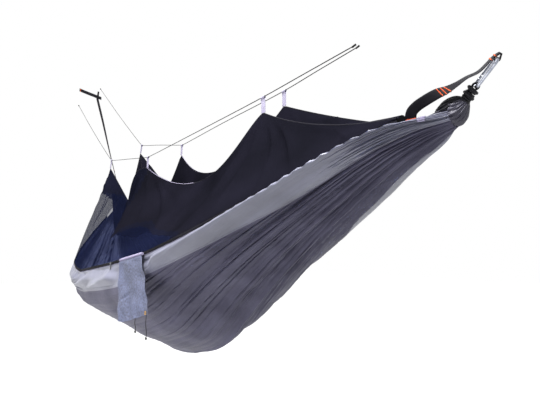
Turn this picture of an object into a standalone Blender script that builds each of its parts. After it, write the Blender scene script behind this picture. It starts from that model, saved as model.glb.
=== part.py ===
"""A gathered-end camp hammock with an insect net, slung between two anchors, at its real size.

Metres, +Z up. The origin is the pull point of the head strap, +X points from the foot to
the head and +Y to the back. The net hangs from two ridge lines on six webbing loops.
"""
import math

import bmesh
import bpy
from mathutils import Matrix, Vector

# The hang: gather to gather, and from each gather to where its strap pulls
SPAN = 2.39
HEAD_REACH = 0.105
HEAD_RISE = 0.0985
FOOT_REACH = 0.805
FOOT_RISE = 1.0

# Running gap between pieces that touch, and the overrun of every cut
GAP = 0.0003
EDGE_GAP = 0.0009
OVERRUN = 0.004

# The bed of thin nylon: half its width at the edges, and how far the edges and the belly sag
BED_HALF_WIDTH = 0.44
EDGE_SAG = 0.40
BELLY_SAG = 0.785
BED_THICK = 0.0016
BED_SEAM_SHARE = 0.81
PLEAT_DEPTH = 0.0085
PLEATS = 9
# Station along the span, half width and sag of the edges
EDGE_SHARES = (
    (0.0, 0.06, 0.0), (0.03, 0.205, 0.055), (0.08, 0.345, 0.16), (0.165, 0.555, 0.40),
    (0.25, 0.73, 0.605), (0.36, 0.885, 0.81), (0.465, 0.955, 0.90), (0.56, 0.98, 0.96),
    (0.65, 0.975, 1.0), (0.75, 0.915, 0.89), (0.86, 0.62, 0.58), (0.94, 0.30, 0.25),
    (1.0, 0.06, 0.0))
# The back edge lies a little nearer and higher than the front edge
BACK_OUT_SHARE = 0.88
BACK_SAG_SHARE = 0.75
# Station along the span, sag of the belly and fullness: 1 is round, 0 is drawn straight
BELLY_SHARES = (
    (0.0, 0.04, 1.0), (0.03, 0.066, 0.8), (0.09, 0.15, 0.45), (0.167, 0.29, 0.3),
    (0.267, 0.50, 0.35), (0.345, 0.69, 0.45), (0.41, 0.85, 0.55), (0.505, 0.95, 0.6),
    (0.58, 0.985, 0.35), (0.64, 0.99, 0.1), (0.70, 0.94, 0.0), (0.76, 0.85, 0.1),
    (0.86, 0.62, 0.45), (0.94, 0.30, 0.9), (1.0, 0.04, 1.0))
# A section drawn straight: its side keeps this much of the width and of the fall
SIDE_OUT_SHARE = 0.96
SIDE_FALL_SHARE = 0.34
SIDE_ACROSS_SHARE = 0.75
# Power by which it is hollow between its side and its keel
HOLLOW_SHARE = 0.72
# Station along the span and depth of the pleats, which run out from both gathers
PLEAT_SHARES = (
    (0.0, 0.12), (0.05, 0.4), (0.15, 0.9), (0.3, 1.0), (0.45, 0.6), (0.6, 0.2),
    (0.75, 0.3), (0.88, 0.8), (0.95, 0.4), (1.0, 0.12))
# Stations along the span at which the bed and all that meets its edges are cut
BED_STATION_SHARES = (
    0.0, 0.0146, 0.0188, 0.035, 0.065, 0.105, 0.16, 0.225, 0.29, 0.352, 0.448, 0.54, 0.635,
    0.685, 0.735, 0.80, 0.875, 0.94, 1.0)
# Small step by which a slope is felt, and the angle past which an edge stays sharp
PROBE_SHARE = 0.0001
SHARP_ANGLE = math.radians(35)

# The gathered ends, where the cloth is bunched on its cord
GATHER_RADIUS = 0.032
GATHER_BULGE = 0.022
FLUTES = 9
FLUTE_SHARE = 0.06
GATHER_RINGS = 4
GATHER_SPOKES = 36

# Cord through each gather, and its winding
CORD_THICK = 0.005
CORD_STARTS = (0.0275, 0.0295)
CORD_PARTING = 0.0055
WINDING_TURNS = 4
WINDING_PITCH = 0.0056
WINDING_LUMP = 0.0015
WINDING_START = 0.0335
TURN_POINTS = 24
BIGHT_STEPS = 10
BIGHT_NECK_SHARE = 1.4
CORD_LOOP_STEPS = 36

# Snap hooks of bent steel rod, measured along their middle line
HOOK_ROD = 0.007
HOOK_LENGTH = 0.065
HOOK_HALF_WIDTH = 0.014
HOOK_CORNER = 0.0095
HOOK_PIN_PLACE = 0.019
HOOK_NOSE_PLACE = 0.050
HOOK_SHOULDER = 0.0048
HOOK_TONGUE = 0.0028
HOOK_TONGUE_TIP = 0.0026
GATE_ROD = 0.006
GATE_TAIL = 0.003
GATE_SLOT_DEPTH = 0.0052
GATE_PIN = 0.002
CORNER_STEPS = 5
ROD_SIDES = 12
PIN_SIDES = 16
HEAD_HOOK_TURN = math.radians(47)
FOOT_HOOK_TURN = math.radians(60)
HOOK_ENDS = (("head", 0, HEAD_HOOK_TURN), ("foot", 1, FOOT_HOOK_TURN))

# Webbing straps
STRAP_WIDTH = 0.025
STRAP_THICK = 0.0016
EYE_WIDTH = 0.013
EYE_STITCHED = 0.045
EYE_TAPER = 0.02
LEG_BEND_SHARE = 1.7
EYE_CLEARANCE = 0.0013
EYE_STEPS = 10
HEAD_EYE_LENGTH = 0.012
LEG_SHARES = (0.04, 0.2, 0.4, 0.6, 0.8, 0.94)
TREE_RADIUS = 0.088
TREE_STEPS = 28
TREE_FACE = math.radians(27)
TREE_RISE = math.radians(207)
TREE_TILT = math.radians(25)
STRAP_END_LENGTH = 0.060
STRAP_END_WIDTH = 0.018
STRAP_END_BOW = 0.006

# Free end of the head strap, by places in the frame of the head hook as shares of its length
TAIL_SHARES = (
    (1.18, 0.0, 0.045), (1.09, 0.0, 0.095), (0.92, 0.0, 0.14), (0.69, 0.0, 0.16),
    (0.395, 0.0, 0.223), (0.09, 0.0, 0.414), (-0.25, 0.0, 0.557), (-0.55, -0.02, 0.72),
    (-0.79, -0.02, 0.895), (-1.18, -0.04, 1.10), (-1.46, -0.08, 1.22), (-1.68, -0.14, 1.26),
    (-1.84, -0.18, 1.20), (-1.95, -0.20, 1.10), (-2.03, -0.20, 1.00))
TAIL_STEPS = 30
TAIL_TAPER_STEPS = 4
TAIL_TIP_SHARE = 0.55

# Ridge lines, by places chosen along their way from head to foot, as shares of the span
LINE_THICK = 0.003
LINE_POINTS = 76
FRONT_LINE_SHARES = (
    (0.1113, -0.0146, 0.1054), (0.1950, -0.0178, 0.1002), (0.2795, -0.0209, 0.0950),
    (0.4874, -0.0301, 0.0860), (0.6883, -0.0395, 0.0780), (0.6937, -0.0397, 0.0782),
    (0.6992, -0.0397, 0.0785), (0.8347, -0.0402, 0.0981), (0.9561, -0.0406, 0.1159),
    (0.9690, -0.0406, 0.1185), (0.9745, -0.0406, 0.1205), (0.9799, -0.0406, 0.1226),
    (0.9916, -0.0408, 0.1284), (1.1695, -0.0460, 0.2433), (1.3787, -0.0519, 0.3870))
BACK_LINE_SHARES = (
    (0.1314, 0.0146, 0.1209), (0.2071, 0.0178, 0.1182), (0.2828, 0.0209, 0.1151),
    (0.4874, 0.0301, 0.1165), (0.6866, 0.0395, 0.1166), (0.6921, 0.0397, 0.1172),
    (0.6975, 0.0397, 0.1178), (0.8305, 0.0397, 0.1450), (0.9481, 0.0397, 0.1677),
    (0.9611, 0.0397, 0.1709), (0.9665, 0.0397, 0.1732), (0.9720, 0.0397, 0.1755),
    (0.9837, 0.0395, 0.1818), (1.1695, 0.0301, 0.3119), (1.3787, 0.0197, 0.4656))
HEAD_LOOP, MID_LOOP, FOOT_LOOP = 2, 5, 10
KNOT_LENGTH = 0.013
KNOT_THICK = 0.009
KNOT_SIDES = 12
KNOT_SHARES = ((0.0, 0.45), (0.08, 0.85), (0.22, 1.0), (0.36, 0.8), (0.5, 1.0), (0.64, 0.8),
               (0.78, 1.0), (0.92, 0.85), (1.0, 0.45))
LOOP_WIDTH = 0.022
LOOP_THICK = 0.001
LOOP_DROP = 0.058
LOOP_SLACK = 0.0016
LOOP_STEPS = 8

# The net, and the tapes that join it to the edges of the bed
NET_THICK = 0.0012
TAPE_TALL = 0.012
TAPE_THICK = 0.0016
TAPE_START_SHARE = 0.035
TAPE_END_SHARE = 0.94
NET_ROWS = 6
ROOF_ROWS = 8
NET_BOW_SHARES = (0.03, 0.05, 0.05, 0.0, 0.0)
FOLD_DEPTH = 0.007
FOLDS = 2
NET_HEAD_RISE = 0.003
# Stations on the edge under the places where each net panel is held up, from head to foot
NET_EDGE_SHARES = (0.035, 0.2575, 0.54, 0.71, 0.94)
# How far each hem sags between them, and how far it draws in
FRONT_HEM_SAGS = (0.028, 0.155, 0.20, 0.02)
# The front hem is drawn straighter from the head loop, and into a corner between the foot ones
HEM_DRAWN_SHARE = 1.4
HEM_CUSP_SHARE = 2.6
HEM_LOW_SHARE = 0.559
BACK_HEM_SAGS = (0.012, 0.17, 0.32, 0.02)
HEM_DRAWS = (0.0, 0.03, 0.03, 0.0)
FOOT_PEAK_SHARE = 0.992
NET_FOOT_RISE = 0.030
NET_FOOT_OUT = 0.034
# The roof's slack, from head to foot: share of its sag, and of its open foot end's lean
ROOF_SAG = 0.215
ROOF_STRETCHES = 3
HEAD_STRETCH, FOOT_STRETCH = 1, 2
ROOF_SHARES = (
    (0.0, 0.0, 0.0), (0.27, -0.28, 0.0), (0.5, 0.47, 0.0), (0.68, 0.77, 0.0),
    (0.85, 1.0, 0.4), (1.0, 0.98, 1.0))
ROOF_FOOT_OUT = -0.13
ROOF_FOOT_REACH = 0.36

# The slide fastener in the front tape
SLIDER_LENGTH = 0.012
SLIDER_TALL = 0.009
SLIDER_THICK = 0.004
SLIDER_SHARE = 0.458
PULL_LENGTH = 0.026
PULL_WIDTH = 0.007
PULL_THICK = 0.0016
PULL_PIN = 0.0018
PULL_PIN_HEAD = 0.0034
PULL_PIN_HEAD_THICK = 0.0008
STOP_LENGTH = 0.006
STOP_SHARES = (0.045, 0.935)

# The stuff sack, hanging from the front tape
SACK_FROM_SHARE = 0.4225
SACK_TO_SHARE = 0.356
SACK_STAND_OFF = 0.004
SACK_SPREAD_SHARE = 0.3
SACK_SLANT_SHARE = 0.11
SACK_CREASES = 2
SACK_DROP = 0.201
SACK_THICK = 0.005
SACK_FLARE = 0.012
SACK_SKEW = 0.047
SACK_COLUMNS = 10
SACK_ROWS = 12
SACK_CREASE = 0.003
BAR_THICK = 0.011
BAR_SIDES = 12
EYELET_RADIUS = 0.005
EYELET_ROD = 0.0022
EYELET_STEPS = 20
EYELET_SIDES = 8
EYELET_ACROSS_SHARE = 0.92
EYELET_DOWN_SHARE = 0.97
LONG_CORD_ACROSS_SHARE = 0.9
SHORT_CORD_ACROSS_SHARE = 0.62
SACK_CORD_THICK = 0.002
SACK_CORD_LONG = 0.070
SACK_CORD_SHORT = 0.040
SACK_CORD_SWAY = 0.003
SACK_CORD_POINTS = 18

# Small trim near the head and at the foot corner
TRIM_THICK = 0.001
BAND_FROM_SHARE = 0.0146
BAND_TO_SHARE = 0.0188
BAND_ACROSS_SHARE = 0.77
PATCH_FROM_SHARE = 0.685
PATCH_TO_SHARE = 0.735
PATCH_ACROSS_SHARE = 0.88

# What moves with the sack, and with the bed as it swings
SACK_PIECES = ("sack_body", "sack_eyelet", "sack_cord_long", "sack_cord_short")
BED_PIECES = (
    "bed_centre_panel", "bed_side_panel_front", "bed_side_panel_back", "head_edge_band",
    "foot_corner_patch", "head_gather", "foot_gather", "head_cord_loop", "foot_cord_loop",
    "head_cord_winding", "foot_cord_winding", "head_hook_body", "head_hook_pin",
    "foot_hook_body", "foot_hook_pin", "head_strap_tail", "foot_strap_leg", "zip_tape",
    "seam_tape", "zip_stop_head", "zip_stop_foot", "sack_top_bar", "net_front_panel",
    "net_back_panel", "net_roof", "head_gate_pivot", "foot_gate_pivot", "zip_slider_pivot",
    "sack_pivot")


def hang(share, out, up):
    """A place by its share of the span from the head gather, its way to the back and its height."""
    return Vector((-HEAD_REACH - SPAN * share, out, up - HEAD_RISE))


def eased(table, share, column):
    """Read a column of a table at a share of the way, on a smooth curve through its rows."""
    last = len(table) - 2
    row = 0
    while row < last and share > table[row + 1][0]:
        row += 1
    start, end = table[row], table[row + 1]
    before, after = table[max(row - 1, 0)], table[min(row + 2, last + 1)]
    width = end[0] - start[0]
    way = (share - start[0]) / width
    leave = (end[column] - before[column]) / (end[0] - before[0]) * width
    arrive = (after[column] - start[column]) / (after[0] - start[0]) * width
    square, cube = way * way, way * way * way
    return ((2 * cube - 3 * square + 1) * start[column] + (cube - 2 * square + way) * leave
            + (3 * square - 2 * cube) * end[column] + (cube - square) * arrive)


def spread(first, last, steps):
    """Even values from first to last."""
    return [first + (last - first) * step / steps for step in range(steps + 1)]


def bed_out(share, side):
    """How far an edge lies from the middle; side is -1 at the front and 1 at the back."""
    return BED_HALF_WIDTH * eased(EDGE_SHARES, share, 1) * (BACK_OUT_SHARE if side > 0 else 1)


def edge_up(share, side):
    """How high an edge lies over the gathers, which is less than nothing where it sags."""
    return -EDGE_SAG * eased(EDGE_SHARES, share, 2) * (BACK_SAG_SHARE if side > 0 else 1)


def section(across):
    """A section drawn straight, as shares of the half width and of the fall."""
    way = abs(across)
    if way > SIDE_ACROSS_SHARE:
        down = (1 - way) / (1 - SIDE_ACROSS_SHARE)
        return 1 - (1 - SIDE_OUT_SHARE) * down, SIDE_FALL_SHARE * down
    way /= SIDE_ACROSS_SHARE
    return SIDE_OUT_SHARE * way, 1 - (1 - SIDE_FALL_SHARE) * way ** HOLLOW_SHARE


def bed_place(share, across):
    """The bed's cloth: across runs from -1 at the front edge to 1 at the back edge."""
    side = math.copysign(1, across)
    full = eased(BELLY_SHARES, share, 2)
    straight_out, straight_fall = section(across)
    turn = abs(across) * math.pi / 2
    out = full * math.sin(turn) + (1 - full) * straight_out
    down = full * math.cos(turn) + (1 - full) * straight_fall
    wave = PLEAT_DEPTH * eased(PLEAT_SHARES, share, 1) * math.sin(across * PLEATS * math.pi)
    fall = BELLY_SAG * eased(BELLY_SHARES, share, 1) + edge_up(share, side)
    return hang(share, side * (bed_out(share, side) + wave) * out,
                edge_up(share, side) - (fall + wave) * down)


def edge_place(share, side, up):
    """A place over an edge of the bed."""
    return hang(share, side * bed_out(share, side), edge_up(share, side) + up)


def on_edge(share, side, up):
    """A place over the edge as it is cut, on the straight runs between the stations."""
    row = 0
    while row < len(BED_STATION_SHARES) - 2 and share > BED_STATION_SHARES[row + 1]:
        row += 1
    first, last = BED_STATION_SHARES[row], BED_STATION_SHARES[row + 1]
    way = (share - first) / (last - first)
    return edge_place(first, side, up).lerp(edge_place(last, side, up), way)


def edge_frame(share, side):
    """Axes on the edge: towards the head, outwards and up."""
    ahead = on_edge(share - PROBE_SHARE, side, 0) - on_edge(share + PROBE_SHARE, side, 0)
    ahead.normalize()
    out = Vector((-ahead.y, ahead.x, 0)).normalized() * side
    return ahead, out, ahead.cross(out).normalized() * side


def stations(start, end):
    """The bed's own stations between two shares of the span."""
    return [share for share in BED_STATION_SHARES if start <= share <= end]


def bed_columns(first, last):
    """Columns of the cloth from one way across to another: four to each pleat, and the seams."""
    count = 2 * PLEATS
    ways = [column / count for column in range(-count, count + 1)]
    ways += [-BED_SEAM_SHARE, BED_SEAM_SHARE]
    return sorted(way for way in ways if first <= way <= last)


def finish(name, code, roughness, metallic=0.0):
    """A plain finish whose colour is written as a web colour."""
    material = bpy.data.materials.new(name)
    material.use_nodes = True
    shader = material.node_tree.nodes["Principled BSDF"]
    channels = [int(code[place:place + 2], 16) / 255 for place in (0, 2, 4)]
    linear = [channel / 12.92 if channel < 0.04045 else ((channel + 0.055) / 1.055) ** 2.4
              for channel in channels]
    shader.inputs["Base Color"].default_value = (*linear, 1)
    shader.inputs["Roughness"].default_value = roughness
    shader.inputs["Metallic"].default_value = metallic
    return material


def solid(name, mesh, material, smooth=True):
    """Turn a closed bmesh into a named object with its faces pointing out."""
    bmesh.ops.recalc_face_normals(mesh, faces=mesh.faces)
    data = bpy.data.meshes.new(name)
    mesh.to_mesh(data)
    mesh.free()
    data.materials.append(material)
    if smooth:
        data.shade_smooth()
        data.set_sharp_from_angle(angle=SHARP_ANGLE)
    piece = bpy.data.objects.new(name, data)
    bpy.context.scene.collection.objects.link(piece)
    return piece


def skin_rings(mesh, rings, closed=False):
    """Join rings of vertices into a skin, with a face over each end of an open row."""
    pairs = list(zip(rings, rings[1:]))
    if closed:
        pairs.append((rings[-1], rings[0]))
    else:
        mesh.faces.new(rings[0])
        mesh.faces.new(rings[-1])
    count = len(rings[0])
    for here, there in pairs:
        for corner in range(count):
            following = (corner + 1) % count
            mesh.faces.new((here[corner], here[following], there[following], there[corner]))


def sheet(name, place, normal, lengthwise, crosswise, thick, material):
    """A closed sheet around place(u, v), half its thickness to each side along normal(u, v)."""
    mesh = bmesh.new()
    rings = []
    for u in lengthwise:
        upper = [mesh.verts.new(place(u, v) + normal(u, v) * thick / 2) for v in crosswise]
        lower = [mesh.verts.new(place(u, v) - normal(u, v) * thick / 2) for v in crosswise]
        rings.append(upper + lower[::-1])
    last = len(crosswise) - 1
    for here, there in zip(rings, rings[1:]):
        for corner in range(len(here)):
            following = (corner + 1) % len(here)
            cell = (here[corner], here[following], there[following], there[corner])
            # both faces of the sheet are split along the same diagonal, so it is as thick all over
            if corner < last:
                mesh.faces.new(cell[:3])
                mesh.faces.new((cell[0], cell[2], cell[3]))
            else:
                mesh.faces.new((cell[0], cell[1], cell[3]))
                mesh.faces.new(cell[1:])
    for ring in (rings[0], rings[-1]):
        for column in range(last):
            mesh.faces.new((ring[column], ring[column + 1], ring[-2 - column], ring[-1 - column]))
    return solid(name, mesh, material)


def slope(place, u, v, along):
    """How a place moves with u, or with v."""
    if along:
        return place(u + PROBE_SHARE, v) - place(u - PROBE_SHARE, v)
    return place(u, v + PROBE_SHARE) - place(u, v - PROBE_SHARE)


def square_to(place):
    """The direction square to a sheet given by its place function."""
    def normal(u, v):
        return slope(place, u, v, True).cross(slope(place, u, v, False)).normalized()
    return normal


def bed_normal(share, across):
    """Square to the bed's cloth in the plane of its station, towards its inside."""
    way = slope(bed_place, share, across, False)
    return Vector((0, -way.z, way.y)).normalized()


def ribbon(name, middle, across, widths, thick, material, closed=False):
    """Webbing along points: across gives its width's direction at each of them."""
    mesh = bmesh.new()
    count = len(middle)
    rings = []
    for index, point in enumerate(middle):
        before = middle[(index - 1) % count] if closed or index else point
        after = middle[(index + 1) % count] if closed or index < count - 1 else point
        along = (after - before).normalized()
        side = (across[index] - along * across[index].dot(along)).normalized()
        flat = along.cross(side) * thick / 2
        reach = side * widths[index] / 2
        rings.append([mesh.verts.new(point + place) for place in
                      (flat + reach, reach - flat, -flat - reach, flat - reach)])
    skin_rings(mesh, rings, closed)
    return solid(name, mesh, material, smooth=False)


def tube(name, middle, radii, sides, material):
    """Round piece along points, with a radius at each and flat ends."""
    mesh = bmesh.new()
    rings = []
    normal = (middle[1] - middle[0]).orthogonal()
    for index, point in enumerate(middle):
        along = (middle[min(index + 1, len(middle) - 1)] - middle[max(index - 1, 0)]).normalized()
        normal = (normal - along * normal.dot(along)).normalized()
        other = along.cross(normal)
        rings.append([mesh.verts.new(point + radii[index] * (
            normal * math.cos(2 * math.pi * side / sides)
            + other * math.sin(2 * math.pi * side / sides))) for side in range(sides)])
    skin_rings(mesh, rings)
    return solid(name, mesh, material)


def rod(name, middle, thick, sides, material):
    """Round rod of one thickness."""
    return tube(name, middle, [thick / 2] * len(middle), sides, material)


def turned(name, start, end, profile, thick, sides, material):
    """A solid turned about the line from start to end; profile holds shares of both sizes."""
    return tube(name, [start.lerp(end, way) for way, share in profile],
                [share * thick / 2 for way, share in profile], sides, material)


def block(name, frame, size, material):
    """A box of a size, centred on a frame."""
    mesh = bmesh.new()
    bmesh.ops.create_cube(mesh, size=1, matrix=frame @ Matrix.Diagonal((*size, 1)))
    return solid(name, mesh, material, smooth=False)


def shaped(piece, tools, operation):
    """Cut tools from a piece, or join them to it, and keep them as guides only."""
    for tool in tools:
        step = piece.modifiers.new(tool.name, "BOOLEAN")
        step.operation = operation
        step.solver = "EXACT"
        step.object = tool
        tool.hide_render = True
        tool.display_type = "WIRE"


def between(first, last, start, end, knot):
    """The place at a knot on the line through two places at two other knots."""
    return first.lerp(last, (knot - start) / (end - start))


def smooth_route(points, steps):
    """Evenly many points on a smooth curve through the points of a route."""
    points = [Vector(point) for point in points]
    ends = [points[0] * 2 - points[1]] + points + [points[-1] * 2 - points[-2]]
    knots = [0.0]
    for here, there in zip(ends, ends[1:]):
        knots.append(knots[-1] + math.sqrt((there - here).length))
    route = []
    for step in range(steps + 1):
        knot = knots[1] + (knots[-2] - knots[1]) * step / steps
        row = 0
        while row < len(points) - 2 and knot > knots[row + 2]:
            row += 1
        level = ends[row:row + 4]
        near = knots[row:row + 4]
        level = [between(level[index], level[index + 1], near[index], near[index + 1], knot)
                 for index in range(3)]
        level = [between(level[index], level[index + 1], near[index], near[index + 2], knot)
                 for index in range(2)]
        route.append(between(level[0], level[1], near[1], near[2], knot))
    return route


def cord(name, points, thick, material, resolution=2):
    """A cord as a round curve with filled caps on a POLY spline."""
    curve = bpy.data.curves.new(name, "CURVE")
    curve.dimensions = "3D"
    curve.bevel_depth = thick / 2
    curve.bevel_resolution = resolution
    curve.render_resolution_u = 0
    curve.use_fill_caps = True
    line = curve.splines.new("POLY")
    line.points.add(len(points) - 1)
    for knot, point in zip(line.points, points):
        knot.co = (*point, 1)
    curve.materials.append(material)
    piece = bpy.data.objects.new(name, curve)
    bpy.context.scene.collection.objects.link(piece)
    return piece


def bed_panel(name, first, last, material):
    """A panel of the bed between two ways across, parted from its neighbour at the seam."""
    def place(share, across):
        if abs(across) == BED_SEAM_SHARE:
            reach = slope(bed_place, share, across, False).length / (2 * PROBE_SHARE)
            inward = 1 if across == first else -1
            across += inward * GAP / 2 / reach
        return bed_place(share, across)
    sheet(name, place, bed_normal, BED_STATION_SHARES, bed_columns(first, last), BED_THICK,
          material)


def bed(centre_cloth, side_cloth):
    """The bed of three panels that meet at two lengthwise seams."""
    bed_panel("bed_centre_panel", -BED_SEAM_SHARE, BED_SEAM_SHARE, centre_cloth)
    bed_panel("bed_side_panel_front", -1, -BED_SEAM_SHARE, side_cloth)
    bed_panel("bed_side_panel_back", BED_SEAM_SHARE, 1, side_cloth)


def bed_trim(name, share_rows, columns, inward, material):
    """A strip on the bed's cloth; inward is 1 on its inside and -1 on its outside."""
    stand_off = inward * ((BED_THICK + TRIM_THICK) / 2 + EDGE_GAP)

    def place(share, across):
        return bed_place(share, across) + bed_normal(share, across) * stand_off
    sheet(name, place, bed_normal, share_rows, columns, TRIM_THICK, material)


def trim(band_cloth, patch_cloth):
    """The band round the front edge near the head, and the patch inside the foot corner."""
    bed_trim("head_edge_band", stations(BAND_FROM_SHARE, BAND_TO_SHARE),
             bed_columns(-1, -BAND_ACROSS_SHARE), -1, band_cloth)
    bed_trim("foot_corner_patch", stations(PATCH_FROM_SHARE, PATCH_TO_SHARE),
             bed_columns(-1, -PATCH_ACROSS_SHARE), 1, patch_cloth)


def gather(name, end, material):
    """The bunched end of the cloth: a fluted dome whose flat face meets the bed."""
    side = -1 if end else 1
    middle = hang(end, 0, 0) + Vector((side * GAP, 0, 0))
    mesh = bmesh.new()
    rings = []
    for step in range(GATHER_RINGS):
        rise = step / GATHER_RINGS * math.pi / 2
        ring = []
        for spoke in range(GATHER_SPOKES):
            turn = 2 * math.pi * spoke / GATHER_SPOKES
            flute = 1 + FLUTE_SHARE * math.cos(FLUTES * turn) * math.sin(2 * rise)
            reach = GATHER_RADIUS * math.cos(rise) * flute
            ring.append(mesh.verts.new(middle + Vector((
                side * GATHER_BULGE * math.sin(rise),
                reach * math.sin(turn), reach * math.cos(turn)))))
        rings.append(ring)
    skin_rings(mesh, rings)
    return solid(name, mesh, material)


def pull_frame(end, place, turn):
    """A frame on a suspension: x along its pull, y across it in the plane of its hook."""
    pull = Vector((-FOOT_REACH, 0, FOOT_RISE)) if end else Vector((HEAD_REACH, 0, HEAD_RISE))
    along = pull.normalized()
    side = Vector((0, 1, 0))
    frame = Matrix((along, side, along.cross(side))).transposed().to_4x4()
    frame.translation = hang(end, 0, 0) + along * place
    return frame @ Matrix.Rotation(turn, 4, "X")


def hook_start():
    """How far up each suspension its hook begins."""
    return math.hypot(HEAD_REACH, HEAD_RISE) - HOOK_LENGTH - HEAD_EYE_LENGTH


def cord_loop(name, end, turn, material):
    """Two strands from the gather that pass round the rod of the hook."""
    frame = pull_frame(end, hook_start(), turn)
    reach = HOOK_ROD / 2 + 2 * GAP + CORD_THICK / 2
    start = CORD_STARTS[end] - hook_start()
    neck = -BIGHT_NECK_SHARE * reach
    parted = CORD_PARTING / 2
    strand = [(start, parted), ((start + neck) / 2, parted), (neck, parted)]
    bight = [(reach * math.cos(angle), reach * math.sin(angle))
             for angle in spread(2 * math.pi / 3, -2 * math.pi / 3, BIGHT_STEPS)]
    points = strand + bight + [(x, -z) for x, z in reversed(strand)]
    route = smooth_route([frame @ Vector((x, 0, z)) for x, z in points], CORD_LOOP_STEPS)
    cord(name, route, CORD_THICK, material)


def cord_winding(name, end, turn, material):
    """Cord wound round both strands: one tube, with a straight end at each side."""
    frame = pull_frame(end, WINDING_START, turn)
    radius = CORD_PARTING / 2 + CORD_THICK + 2 * GAP
    points = []
    for step in range(WINDING_TURNS * TURN_POINTS + 1):
        way = step / TURN_POINTS
        angle = 2 * math.pi * way
        lump = WINDING_LUMP * math.sin(math.pi * way / WINDING_TURNS)
        points.append(Vector((WINDING_PITCH * way, (radius + lump) * math.sin(angle),
                              (radius + lump) * math.cos(angle))))
    tip = (points[0] - points[1]).normalized() * CORD_THICK
    end_tip = (points[-1] - points[-2]).normalized() * CORD_THICK
    points = [points[0] + tip] + points + [points[-1] + end_tip]
    least = min((points[here] - points[there]).length
                for here in range(len(points))
                for there in range(here + TURN_POINTS // 2, len(points))) - CORD_THICK
    print(f"{name}: least gap to itself {least * 1000:.2f} mm")
    cord(name, [frame @ point for point in points], CORD_THICK, material, resolution=1)


def hook_outline():
    """The rod's middle line in the hook's plane, from the tongue round to the nose."""
    side = HOOK_HALF_WIDTH - HOOK_CORNER
    far = HOOK_LENGTH - HOOK_CORNER
    corners = ((HOOK_CORNER, side), (HOOK_CORNER, -side), (far, -side), (far, side))
    points = [(HOOK_PIN_PLACE + HOOK_TONGUE_TIP, HOOK_HALF_WIDTH)]
    for quarter, (x, y) in enumerate(corners):
        start = (quarter + 1) * math.pi / 2
        for angle in spread(start, start + math.pi / 2, CORNER_STEPS):
            points.append((x + HOOK_CORNER * math.cos(angle), y + HOOK_CORNER * math.sin(angle)))
    points.append((HOOK_NOSE_PLACE, HOOK_HALF_WIDTH))
    return points


def hook(name, end, turn, steel, gate_steel):
    """A snap hook: bent rod with a tongue, the forked gate, and the pin through both."""
    frame = pull_frame(end, hook_start(), turn)
    body = rod(f"{name}_body", [frame @ Vector((x, y, 0)) for x, y in hook_outline()],
               HOOK_ROD, ROD_SIDES, steel)
    cheek = Vector((HOOK_SHOULDER + HOOK_TONGUE_TIP + OVERRUN, HOOK_ROD + OVERRUN, HOOK_ROD))
    cheeks = []
    for side in (-1, 1):
        middle = Vector((HOOK_PIN_PLACE - HOOK_SHOULDER + cheek.x / 2, HOOK_HALF_WIDTH,
                         side * (HOOK_TONGUE + cheek.z) / 2))
        cheeks.append(block(f"{name}_cheek_cut_{side}", frame @ Matrix.Translation(middle),
                            cheek, steel))
    pin = frame @ Vector((HOOK_PIN_PLACE, HOOK_HALF_WIDTH, 0))
    axis = frame.to_3x3() @ Vector((0, 0, 1))
    reach = axis * (HOOK_ROD / 2 + OVERRUN)
    bore = rod(f"{name}_bore_cut", [pin - reach, pin + reach], GATE_PIN + 2 * GAP, PIN_SIDES,
               steel)
    shaped(body, cheeks + [bore], "DIFFERENCE")
    start = frame @ Vector((HOOK_PIN_PLACE - GATE_TAIL, HOOK_HALF_WIDTH, 0))
    stop = frame @ Vector((HOOK_NOSE_PLACE - 2 * GAP, HOOK_HALF_WIDTH, 0))
    gate = rod(f"{name}_gate", [start, stop], GATE_ROD, ROD_SIDES, gate_steel)
    slot = Vector((GATE_TAIL + GATE_SLOT_DEPTH + OVERRUN, GATE_ROD + OVERRUN,
                   HOOK_TONGUE + 2 * GAP))
    middle = Vector((HOOK_PIN_PLACE + GATE_SLOT_DEPTH - slot.x / 2, HOOK_HALF_WIDTH, 0))
    slot_cut = block(f"{name}_slot_cut", frame @ Matrix.Translation(middle), slot, steel)
    shaped(gate, [slot_cut, bore], "DIFFERENCE")
    half = axis * GATE_ROD / 2
    rod(f"{name}_pin", [pin - half, pin + half], GATE_PIN, PIN_SIDES, steel)


def eye_turn():
    """Webbing round the hook's far end, in the hook's frame."""
    reach = HOOK_ROD / 2 + EYE_CLEARANCE + STRAP_THICK / 2
    return [Vector((HOOK_LENGTH + reach * math.cos(angle), 0, reach * math.sin(angle)))
            for angle in spread(math.pi / 3, 5 * math.pi / 3, EYE_STEPS)]


def head_strap(material):
    """The folded eye that pulls on the head hook, and the strap's free end."""
    frame = pull_frame(0, hook_start(), HEAD_HOOK_TURN)
    across = frame.to_3x3() @ Vector((0, 1, 0))
    ply = (STRAP_THICK + GAP) / 2
    tip = HOOK_LENGTH + HEAD_EYE_LENGTH
    turn = eye_turn()
    middle = [Vector((tip, 0, ply))] + turn + [Vector((tip, 0, -ply))]
    ribbon("head_strap_eye", [frame @ point for point in middle], [across] * len(middle),
           [EYE_WIDTH] * len(middle), STRAP_THICK, material)
    tail = [frame @ (Vector(place) * HOOK_LENGTH) for place in TAIL_SHARES]
    route = smooth_route(tail, TAIL_STEPS)
    widths = [STRAP_WIDTH * min(1, TAIL_TIP_SHARE + index / TAIL_TAPER_STEPS)
              for index in range(len(route))]
    ribbon("head_strap_tail", route, [across] * len(route), widths, STRAP_THICK, material)


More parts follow.
